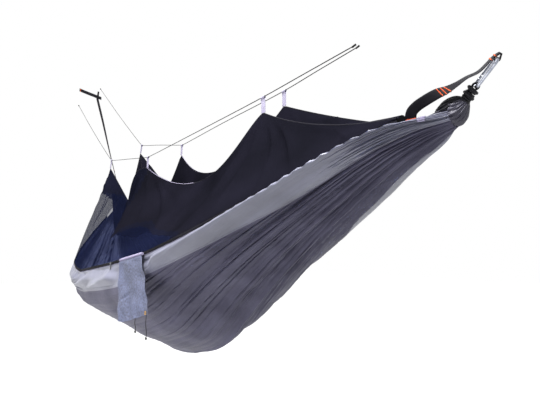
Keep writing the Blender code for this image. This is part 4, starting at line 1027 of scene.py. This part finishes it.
def cord_bundles(rope):
    """The cord through each bunched end: its strands, its loop round the hook and its winding."""
    for end, (end_name, side) in enumerate(ENDS):
        matrix = pull_frame(end)
        start = WINDING_START - HOOK_PLACE

        def coil(along, reach, turn):
            """A place by its way along the pull, its reach from it and its turn about it."""
            return matrix @ Vector((along, reach * math.sin(turn), reach * math.cos(turn)))

        def cord(name, route, radius, sides, nodes=()):
            tube(f"{end_name}_rope_{name}", route, radius, sides, rope, "bed", "black_cord", nodes)

        reach = HOOK_ROD / 2 + 2 * GAP + CORD_THICK / 2
        low, neck, parted = CORD_STARTS[end] - HOOK_PLACE - 0.006, -1.4 * reach, CORD_PARTING / 2
        strand = [(low, parted), ((low + neck) / 2, parted), (neck, parted)]
        bight = [(reach * math.cos(turn), reach * math.sin(turn))
                 for turn in spread(TURN / 3, -TURN / 3, 10)]
        points = strand + bight + [(x, -z) for x, z in reversed(strand)]
        cord("loop", smooth_route([matrix @ Vector((x, 0, z)) for x, z in points], 90),
             CORD_THICK / 2, 12, [f"{end_name}_cord_loop"])
        radius = CORD_PARTING / 2 + CORD_THICK + 2 * GAP
        winding = [coil(start + WINDING_PITCH * way,
                        radius + WINDING_LUMP * math.sin(math.pi * way / WINDING_TURNS), TURN * way)
                   for way in spread(0, WINDING_TURNS, WINDING_TURNS * 36)]
        cord("winding", winding, CORD_THICK / 2, 12, [f"{end_name}_cord_winding"])
        for number, (where, wide) in enumerate(ROPE_LUMPS):
            lump = [coil(start + where + 0.0022 * math.sin(turn + 2 * number)
                         + 0.0042 * (turn / math.pi / 6 - 0.5),
                         wide + 0.0012 * math.sin(2.3 * turn + number), turn + number)
                    for turn in spread(0, 3 * TURN, 144)]
            cord(f"lump_{number}", lump, CORD_THICK * 0.46, 10)
        base = coil(start, 0, 0)
        for number, turn in enumerate(spread(*STRANDS)):
            reach = GATHER_RADIUS * (1.02 + 0.05 * ripple(turn, 1, 5, 3))
            wide, high = reach * math.sin(turn), reach * math.cos(turn)
            low = hang(end, wide, high) - Vector((side * 0.012, 0, 0))
            bend = low.lerp(base, 0.55) + Vector((side * 0.002, 0.2 * wide, 0.2 * high))
            last = low - Vector((side * 0.022, 0.3 * wide, 0.45 * high))
            cord(f"strand_{number}", smooth_route([base, bend, low, last], 30), STRAND_RADIUS, 8)


def eye_turn(steps):
    """Webbing round a hook's far end, in the hook's frame."""
    reach = HOOK_ROD / 2 + EYE_CLEARANCE + STRAP_THICK / 2
    return [Vector((HOOK_LENGTH + reach * math.cos(turn), 0, reach * math.sin(turn)))
            for turn in spread(math.pi / 3, 5 * math.pi / 3, steps)]


def head_strap(webbing, thread):
    """The folded eye on the head hook, the strap's free end and its bar tacks."""
    matrix = pull_frame(0)
    across = matrix.col[1].xyz
    ply = (STRAP_THICK + GAP) / 2
    tip = HOOK_LENGTH + EYE_LENGTH
    middle = [Vector((tip, 0, ply))] + eye_turn(28) + [Vector((tip, 0, -ply))]
    strap("head_eye_webbing", [matrix @ point for point in middle], across, EYE_WIDTH,
          STRAP_THICK, webbing, "rigging", "webbing", ["head_strap_eye"])
    route = smooth_route([matrix @ (Vector(point) * HOOK_LENGTH) for point in TAIL],
                         TAIL_STEPS)
    steps = range(TAIL_STEPS + 1)
    widths = [STRAP_WIDTH * min(1, 0.55 + 0.45 * smooth(index / 24)) for index in steps]
    sides = [across.lerp(TAIL_SIDE, smooth((index - 34) / 60)) for index in steps]
    bend = {"start": tuple(route[12]), "end": tuple(route[50])}
    strap("head_tail_webbing", route, sides, widths, STRAP_THICK, webbing, bend, "webbing",
          ["head_strap_tail"])
    bars = []
    for index, slant in TAIL_TACKS:
        along, side, flat = webbing_axes(route[index + 1] - route[index - 1], sides[index])
        reach = side * widths[index] * 0.43 + along * slant
        bars += [bar(route[index] + flat * face * TACK_LIFT, reach) for face in (-1, 1)]
    stitched("head_tail_tacks", bars, TAIL_BEADS, thread, bend, "webbing")


def tree_place(turn):
    """A place on the tilted ring of webbing round the far anchor."""
    centre = hang(1, -TREE_RADIUS * math.sin(TREE_FACE), 0)
    centre += Vector((-FOOT_REACH - TREE_RADIUS * math.cos(TREE_FACE), 0, FOOT_RISE))
    rise = TREE_RADIUS * math.tan(TREE_TILT)
    lift = rise * (math.cos(turn - TREE_RISE) - math.cos(TREE_FACE - TREE_RISE))
    return centre + Vector((TREE_RADIUS * math.cos(turn), TREE_RADIUS * math.sin(turn), lift))


def foot_strap(webbing, thread):
    """The ring round the far anchor, its end, the leg down to the foot hook and its tacks."""
    ring = [tree_place(TREE_FACE + turn + math.pi / RING_STEPS) for turn in circle(RING_STEPS)]
    strap("anchor_ring_webbing", ring, Vector((0, 0, 1)), STRAP_WIDTH, STRAP_THICK, webbing,
          "rigging", "webbing", ["foot_tree_strap"], closed=True)
    facing = Vector((math.cos(TREE_FACE), math.sin(TREE_FACE), 0))
    level = Vector((-facing.y, facing.x, 0))
    ply = STRAP_THICK + GAP
    inset = TREE_RADIUS * (1 - math.cos(math.pi / TREE_STEPS))
    lap = tree_place(TREE_FACE) + facing * (ply - inset)
    half = Vector((0, 0, STRAP_WIDTH / 2))
    top = [lap + half, lap, lap - half, lap - half * 1.7]
    matrix = pull_frame(1)
    low = matrix.col[1].xyz
    sewn = HOOK_LENGTH + SEWN_FROM
    eye = [Vector((sewn + SEWN_LONG, 0, 0)), Vector((sewn, 0, 0))] + eye_turn(22)
    eye += [Vector((sewn, 0, -ply)), Vector((sewn + SEWN_LONG, 0, -ply))]
    eye = [matrix @ point for point in eye]
    shares = spread(0.02, 0.98, 48)
    leg = [top[-1].lerp(eye[0], share)
           + Vector((0, 0.0015 * math.sin(7 * share) * math.sin(math.pi * share), 0))
           for share in shares]
    across = [level] * len(top) + [level.lerp(low, smooth(share)) for share in shares]
    widths = [STRAP_WIDTH] * (len(top) + len(leg) + 1) + [EYE_WIDTH] * (len(eye) - 2)
    strap("foot_leg_webbing", top + leg + eye, across + [low] * len(eye), widths + [STRAP_WIDTH],
          STRAP_THICK, webbing, LEG_BLEND, "webbing", ["foot_strap_leg"])
    end = [lap + facing * (ply + 0.006 * share * share) - half + Vector((0, 0, 0.060 * share))
           for share in spread(0, 1, 24)]
    strap("anchor_strap_end", end, level, RING_END_WIDTH, STRAP_THICK, webbing, "rigging", "webbing",
          ["foot_strap_end"])
    bars = []
    for share in LEG_TACKS:
        along, side, flat = webbing_axes(eye[0] - top[-1], level.lerp(low, smooth(share)))
        bars += [bar(top[-1].lerp(eye[0], share) + flat * face * TACK_LIFT, side * TACK_HALF)
                 for face in (-1, 1)]
    stitched("foot_leg_tacks", bars, TACK_BEADS, thread, "bed", "webbing")
    bars = [bar(tree_place(turn) + Vector((math.cos(turn), math.sin(turn), 0)) * TACK_LIFT,
                Vector((0, 0, TACK_HALF))) for turn in RING_TACKS]
    stitched("anchor_ring_tacks", bars, TACK_BEADS, thread, "rigging", "webbing")


def ridge_loops(webbing, thread):
    """The six webbing loops on the ridge lines, each sewn shut under its line."""
    ply = (LOOP_THICK + GAP) / 2
    reach = LINE_THICK / 2 + LOOP_SLACK + LOOP_THICK / 2
    for side_name in ("front", "back"):
        rows = []
        for loop_name, index in LOOP_PLACES:
            point, along, side, up = loop_frame(side_name, index)
            middle = [point + side * ply - up * LOOP_DROP * way for way in (1, 0.75, 0.5, 0.3)]
            middle += [point + (side * math.cos(turn) + up * math.sin(turn)) * reach
                       - up * (LOOP_SLACK - GAP)
                       for turn in spread(-math.pi / 4, 5 * math.pi / 4, 24)]
            middle += [point - side * ply - up * LOOP_DROP * way for way in (0.3, 0.5, 0.75, 1)]
            widths = [LOOP_WIDTH * (1 + 0.03 * math.sin(3 * spot)) for spot in range(len(middle))]
            strap(f"loop_webbing_{side_name}_{loop_name}", middle, along, widths, LOOP_THICK,
                  webbing, "rigging", "pale_webbing", [f"ridge_loop_{side_name}_{loop_name}"])
            rows += [bar(point - up * LOOP_DROP * low + side * face * (ply + LOOP_THICK * 0.55),
                         along * LOOP_WIDTH * 0.42, 12)
                     for low in (0.25, 0.92) for face in (-1, 1)]
        stitched(f"loop_stitches_{side_name}", rows, LOOP_BEADS, thread, "rigging",
                 "pale_webbing")


def net_weights(piece, side):
    """Give a net panel its thinner veils low down at its foot, where the bed shows through it."""
    for face in piece.data.polygons:
        share = -(face.center.x + HEAD_REACH) / SPAN
        low = on_edge(share, side, tape_top()).z
        part = (face.center.z - low) / (hem_place(side, share, 0).z - low)
        top = 0.36 * (1 - math.exp(-(share - 0.30) / 0.1)) + 3 * max(share - 0.71, 0)
        face.material_index = 2 if part < top else 1 if part < top + 0.05 or share > 0.69 else 0


def net(veils, hem_finish, piping):
    """Both net panels, the slack roof, and the hem along each top edge."""
    head, foot = NET_EDGES[0], NET_EDGES[-1]
    for side, name in SIDES:
        piece = cloth(f"net_veil_{name}", panel_place(side), crowded(head, foot, 220),
                      spread(0, 1, 60), NET_THICK, veils if side < 0 else veils[:1], NET_BLEND,
                      "net", [f"net_{name}_panel"])
        if side < 0:
            net_weights(piece, side)
        hem = [hem_place(side, share, 0) + Vector((0, 0, 0.0004))
               for share in crowded(head, foot, 260)]
        tube(f"net_hem_{name}", hem, HEM_RADIUS, 8, hem_finish, NET_BLEND, "tape_cloth")
        pipe = [hem_place(side, share, 0.0014) + Vector((0, side * 0.0022, 0.0012))
                for share in spread(*PIPING_SHARES)]
        tube(f"net_piping_{name}", pipe, PIPING_RADIUS, 8, piping, NET_BLEND, "band_cloth")
    roof = cloth("net_veil_roof", roof_place, crowded(head, NET_EDGES[-2], 220),
                 spread(0, 1, 80), NET_THICK, veils[:1], NET_BLEND, "net", ["net_roof"])


def tapes(tape_finish, coil_finish):
    """The tape on each edge, and the coils of the slide fastener along the front one."""
    for (side, name), node in zip(SIDES, ("zip_tape", "seam_tape")):
        def place(share, way, side=side):
            bulge = 0.0010 * ripple(share * 40, way, side, 1)
            return (on_edge(share, side, EDGE_GAP + TAPE_TALL * way)
                    + edge_frame(share, side)[1] * bulge)
        cloth(f"edge_tape_{name}", place, crowded(0.035, 0.94, 240), spread(0, 1, 6), TAPE_THICK,
              [tape_finish], "bed", "tape_cloth", [node])
    coils = [[on_edge(share, -1, EDGE_GAP + TAPE_TALL * high)
              + edge_frame(share, -1)[1] * (TAPE_THICK / 2 + 0.0003)
              for share in crowded(0.045, 0.935, 420)] for high in (0.36, 0.62)]
    stitched("fastener_coils", coils, COIL_BEADS, coil_finish, "bed", "tape_cloth")


def sack_ply(ply, across, down, normal):
    """A place on the sack's outer ply (1) or inner ply (-1), with its dimples and streaks."""
    rim = min(across, 1 - across, (1 - down) * 0.9)
    body = smooth(rim / 0.12) ** 0.6 * smooth(down / 0.03)
    wide = across + 0.012 * ripple(down * 5, 3, ply, 1) * (across - 0.5)
    corner = 0.044 * (1 - smooth(rim / 0.2)) * smooth((down - 0.8) / 0.2) \
        * smooth((0.25 - across) / 0.25)
    relief = 0.0075 * ripple(across * 3.2, down * 4, 9, 1) * smooth(down / 0.1)
    relief += 0.0022 * math.sin(26 * across + 4 * ripple(across, down * 2, 3, 2)) \
        * smooth((down - 0.55) / 0.4)
    relief -= 0.0045 * math.exp(-((across - 0.3) / 0.16) ** 2
                                - ((down - 0.62 + 0.25 * (across - 0.3)) / 0.03) ** 2)
    return sack_place(wide, down * (1 - corner)) \
        + normal * (ply * SACK_THICK * 0.5 * (0.12 + body) + relief)


def sack(sack_finish, bar_finish, thread):
    """The empty stuff sack: two plies of cloth that sag and crease, under its rolled bar."""
    normal = (sack_place(1, 0.5) - sack_place(0, 0.5)).cross(
        sack_place(0.5, 1) - sack_place(0.5, 0)).normalized()
    normal *= math.copysign(1, normal.dot(sack_out()))
    columns, rows = spread(0, 1, 56), spread(0, 1, 64)
    plies = [[[sack_ply(ply, across, down, normal) for across in columns] for down in rows]
             for ply in (1, -1)]
    flat = [[(0.22 * across, 0.215 * down) for across in columns] for down in rows]
    piece = shell("sack_cloth_body", plies, flat, [sack_finish], "sack", "sack_cloth",
                  ["sack_body"])
    ways = spread(0, 1, 60)
    radii = [BAR_THICK / 2 * (0.80 + 0.2 * smooth(min(way, 1 - way) / 0.03))
             * (1 + 0.06 * ripple(way * 22, 0, 5, 1)) for way in ways]
    tube("sack_rolled_bar", [bar_place(0).lerp(bar_place(1), way) for way in ways], radii, 20,
         bar_finish, "bed", "band_cloth", ["sack_top_bar"])
    hem = [[sack_place(across, 0.955) + normal * (SACK_THICK * 0.5 + 0.0012)
            for across in spread(0.05, 0.95, 60)]]
    hem += [[sack_place(across, down) + normal * 0.0022 for down in spread(0.05, 0.93, 60)]
            for across in (0.03, 0.97)]
    stitched("sack_stitches", hem, SACK_BEADS, thread, "sack", "sack_cloth")


def keep_nodes(finishes):
    """Give the hard nodes that stay as they are their detailed finishes."""
    for material, nodes in finishes:
        for node in nodes.split():
            shown = bpy.data.objects[node]
            shown.data.materials.clear()
            shown.data.materials.append(material)


def seen_by(tree, *rays):
    """A value that is 1 for some kinds of ray and else 0."""
    path = add(tree, "ShaderNodeLightPath")
    seen = path[rays[0]]
    for ray in rays[1:]:
        seen = add(tree, "ShaderNodeMath", {0: seen, 1: path[ray]}, operation="MAXIMUM")[0]
    return seen


def studio():
    """A pale floor under the hammock, plain soft light and a white world."""
    scene = bpy.context.scene
    scene.view_settings.view_transform = "Standard"
    scene.world = bpy.data.worlds.new("studio_white")
    scene.world.use_nodes = True
    tree = scene.world.node_tree
    tree.nodes.clear()
    seen = seen_by(tree, "Is Camera Ray", "Is Glossy Ray", "Is Transmission Ray")
    dim = add(tree, "ShaderNodeBackground", {"Color": shade("eef1fb"), "Strength": 0.24})
    white = add(tree, "ShaderNodeBackground", {"Color": (1, 1, 1, 1), "Strength": 1.0})
    both = add(tree, "ShaderNodeMixShader", {0: seen, 1: dim[0], 2: white[0]})
    add(tree, "ShaderNodeOutputWorld", {"Surface": both[0]})
    # Matt white paper that glows evenly, so that only the shadow on it is kept
    material, tree, shader, coat = finish("studio_floor", 0.9)
    shader["Base Color"].default_value = shade("a8a8a8")
    shader["Emission Color"].default_value = (1, 1, 1, 1)
    glow = add(tree, "ShaderNodeMath", {0: seen_by(tree, "Is Camera Ray", "Is Glossy Ray"),
                                        1: 0.92}, operation="MULTIPLY")
    tree.links.new(glow[0], shader["Emission Strength"])
    mesh = bmesh.new()
    bmesh.ops.create_grid(mesh, x_segments=2, y_segments=2, size=14)
    floor = piece_of("floor", mesh, [material])
    floor.location = (-1.4, 0, -1.5)
    for name, place, aim, size, power in LAMPS:
        data = bpy.data.lights.new(name, "AREA")
        data.energy = power
        data.size = size
        lamp = bpy.data.objects.new(name, data)
        lamp.location = place
        lamp.rotation_euler = (Vector(aim) - Vector(place)).to_track_quat("-Z", "Y").to_euler()
        scene.collection.objects.link(lamp)


def main():
    """Make the camera, the cords, then every other piece with its finish."""
    camera()
    # Thin braided nylon line, olive-black, its strands crossing every 2 mm
    line_braid = braided("braided_nylon_line", "16160f", "060605", 0.002, 0.6)
    ridge_lines(line_braid)
    sack_cords(line_braid)
    # Dense braided polyester rope, 5 mm, near black; the dull sheen on each strand is partly its own
    # gloss and partly a painted highlight on its crest
    rope_braid = braided("braided_polyester_rope", "1c1c22", "050507", 0.003, 0.5)
    # Calendered nylon taffeta, violet-grey: a low sheen and soft crumples; threads drawn at 3 mm
    bed_nylon = woven("taffeta_nylon_violet_grey", "757389", "5b596d", 0.003, 0.46, 0.05,
                      Sheen_Weight=0.1, Sheen_Roughness=0.4)
    # The same cloth bunched at the ends, painted darker as the shade its deep folds hold
    bunch_nylon_painted_shade = woven("taffeta_nylon_bunched_painted_shade", "4c4a5a", "2c2b37", 0.003, 0.4, 0.03,
                        Specular_IOR_Level=0.4)
    # The same taffeta's inner side, painted paler and bluer as the light it catches, seen through
    # the net
    bed_underside_painted_light = woven("taffeta_nylon_underside_painted_light", "9aa4d6", "727baa", 0.003, 0.5, 0.05)
    # Pale nylon taffeta of the side panels: smooth, so it takes a long soft highlight
    side_nylon = woven("taffeta_nylon_pale_grey", "9394a8", "777889", 0.003, 0.34, 0.045,
                       Sheen_Weight=0.3, Sheen_Roughness=0.3, Specular_IOR_Level=0.7)
    # Knitted polyester no-see-um netting, real holes under 1 mm, drawn at 4 mm to show at all
    veils = [netting(f"knitted_polyester_netting_{weight}", pale, deep, 0.004, cover)
             for weight, pale, deep, cover in (
                 ("dense", "1d1c26", "131319", 0.91), ("even", "1c1d2c", "141520", 0.82),
                 ("open", "1c213c", "13172b", 0.42))]
    # Woven polyester zip tape, near black and matt, threads drawn at 1.5 mm
    tape_weave = woven("woven_polyester_tape", "26252d", "17161b", 0.0015, 0.75, 0.02, 0.5)
    # Moulded polyester coil, slightly glossy
    coil = woven("moulded_polyester_coil", "2b2b30", "141417", 0.001, 0.35, 0.01)
    # Flat woven polyester webbing, black, with ribs every 1.8 mm across its run
    webbing = woven("flat_polyester_webbing", "17161c", "0d0c12", 0.0018, 0.62, 0.02, 0.2)
    # Pale lilac polyester webbing of the net's loops
    pale_webbing = woven("pale_polyester_webbing", "b9b4ca", "a29cb6", 0.0018, 0.6, 0.015, 0.8)
    # Embroidery thread of the bar tacks, orange-red with a silky sheen
    tack_thread = woven("rayon_thread_orange", "f07a50", "d85432", 0.0008, 0.4, 0.004)
    # Pale sewing thread of the seams
    pale_thread = woven("polyester_thread_lilac", "a8a2b8", "8d879e", 0.0008, 0.5, 0.004)
    # Lilac cloth binding, folded over and softly creased
    binding = woven("folded_nylon_binding", "b3adc8", "958eac", 0.002, 0.55, 0.012)
    # Brushed blue-grey nylon of the stuff sack, with a mottle of 5 to 10 mm
    sack_nylon = heathered("creased_nylon_blue_grey", "7980a0", "383a4a", "565864", 60.0, 0.6)
    # Brown-mauve cloth patch inside the foot corner
    patch_weave = woven("woven_patch_mauve", "75605c", "5c4743", 0.002, 0.7, 0.02)
    # Polished stainless steel rod with fine handling scuffs
    steel = metal("polished_stainless_steel", "a9acb6", "868a96", 0.24, 900.0)
    # Die-cast zinc of the slider, plated and a little duller
    zinc = metal("plated_zinc_slider", "8b8c92", "5f6066", 0.32, 700.0)
    # Pressed brass of the eyelet
    brass = metal("pressed_brass", "b8914a", "8f6c30", 0.3, 600.0)

    bed(bed_nylon, side_nylon, bed_underside_painted_light, pale_thread)
    bed_trim("head_edge_binding", "head_edge_band", spread(0.0146, 0.0188, 6),
             spread(-0.998, -0.77, 40), -1, 0.0012, binding, "band_cloth")
    bed_trim("foot_corner_cloth", "foot_corner_patch", spread(0.685, 0.735, 16),
             spread(-0.998, -0.88, 20), 1, 0.0009, patch_weave, "patch_cloth")
    gathers(bunch_nylon_painted_shade)
    cord_bundles(rope_braid)
    head_strap(webbing, tack_thread)
    foot_strap(webbing, tack_thread)
    ridge_loops(pale_webbing, pale_thread)
    net(veils, tape_weave, pale_thread)
    tapes(tape_weave, coil)
    sack(sack_nylon, binding, pale_thread)
    keep_nodes((
        (steel, "head_hook_body head_hook_gate head_hook_pin"),
        (steel, "foot_hook_body foot_hook_gate foot_hook_pin"),
        (zinc, "zip_slider zip_pull"), (tape_weave, "zip_stop_head zip_stop_foot"),
        (brass, "sack_eyelet")))
    studio()


main()
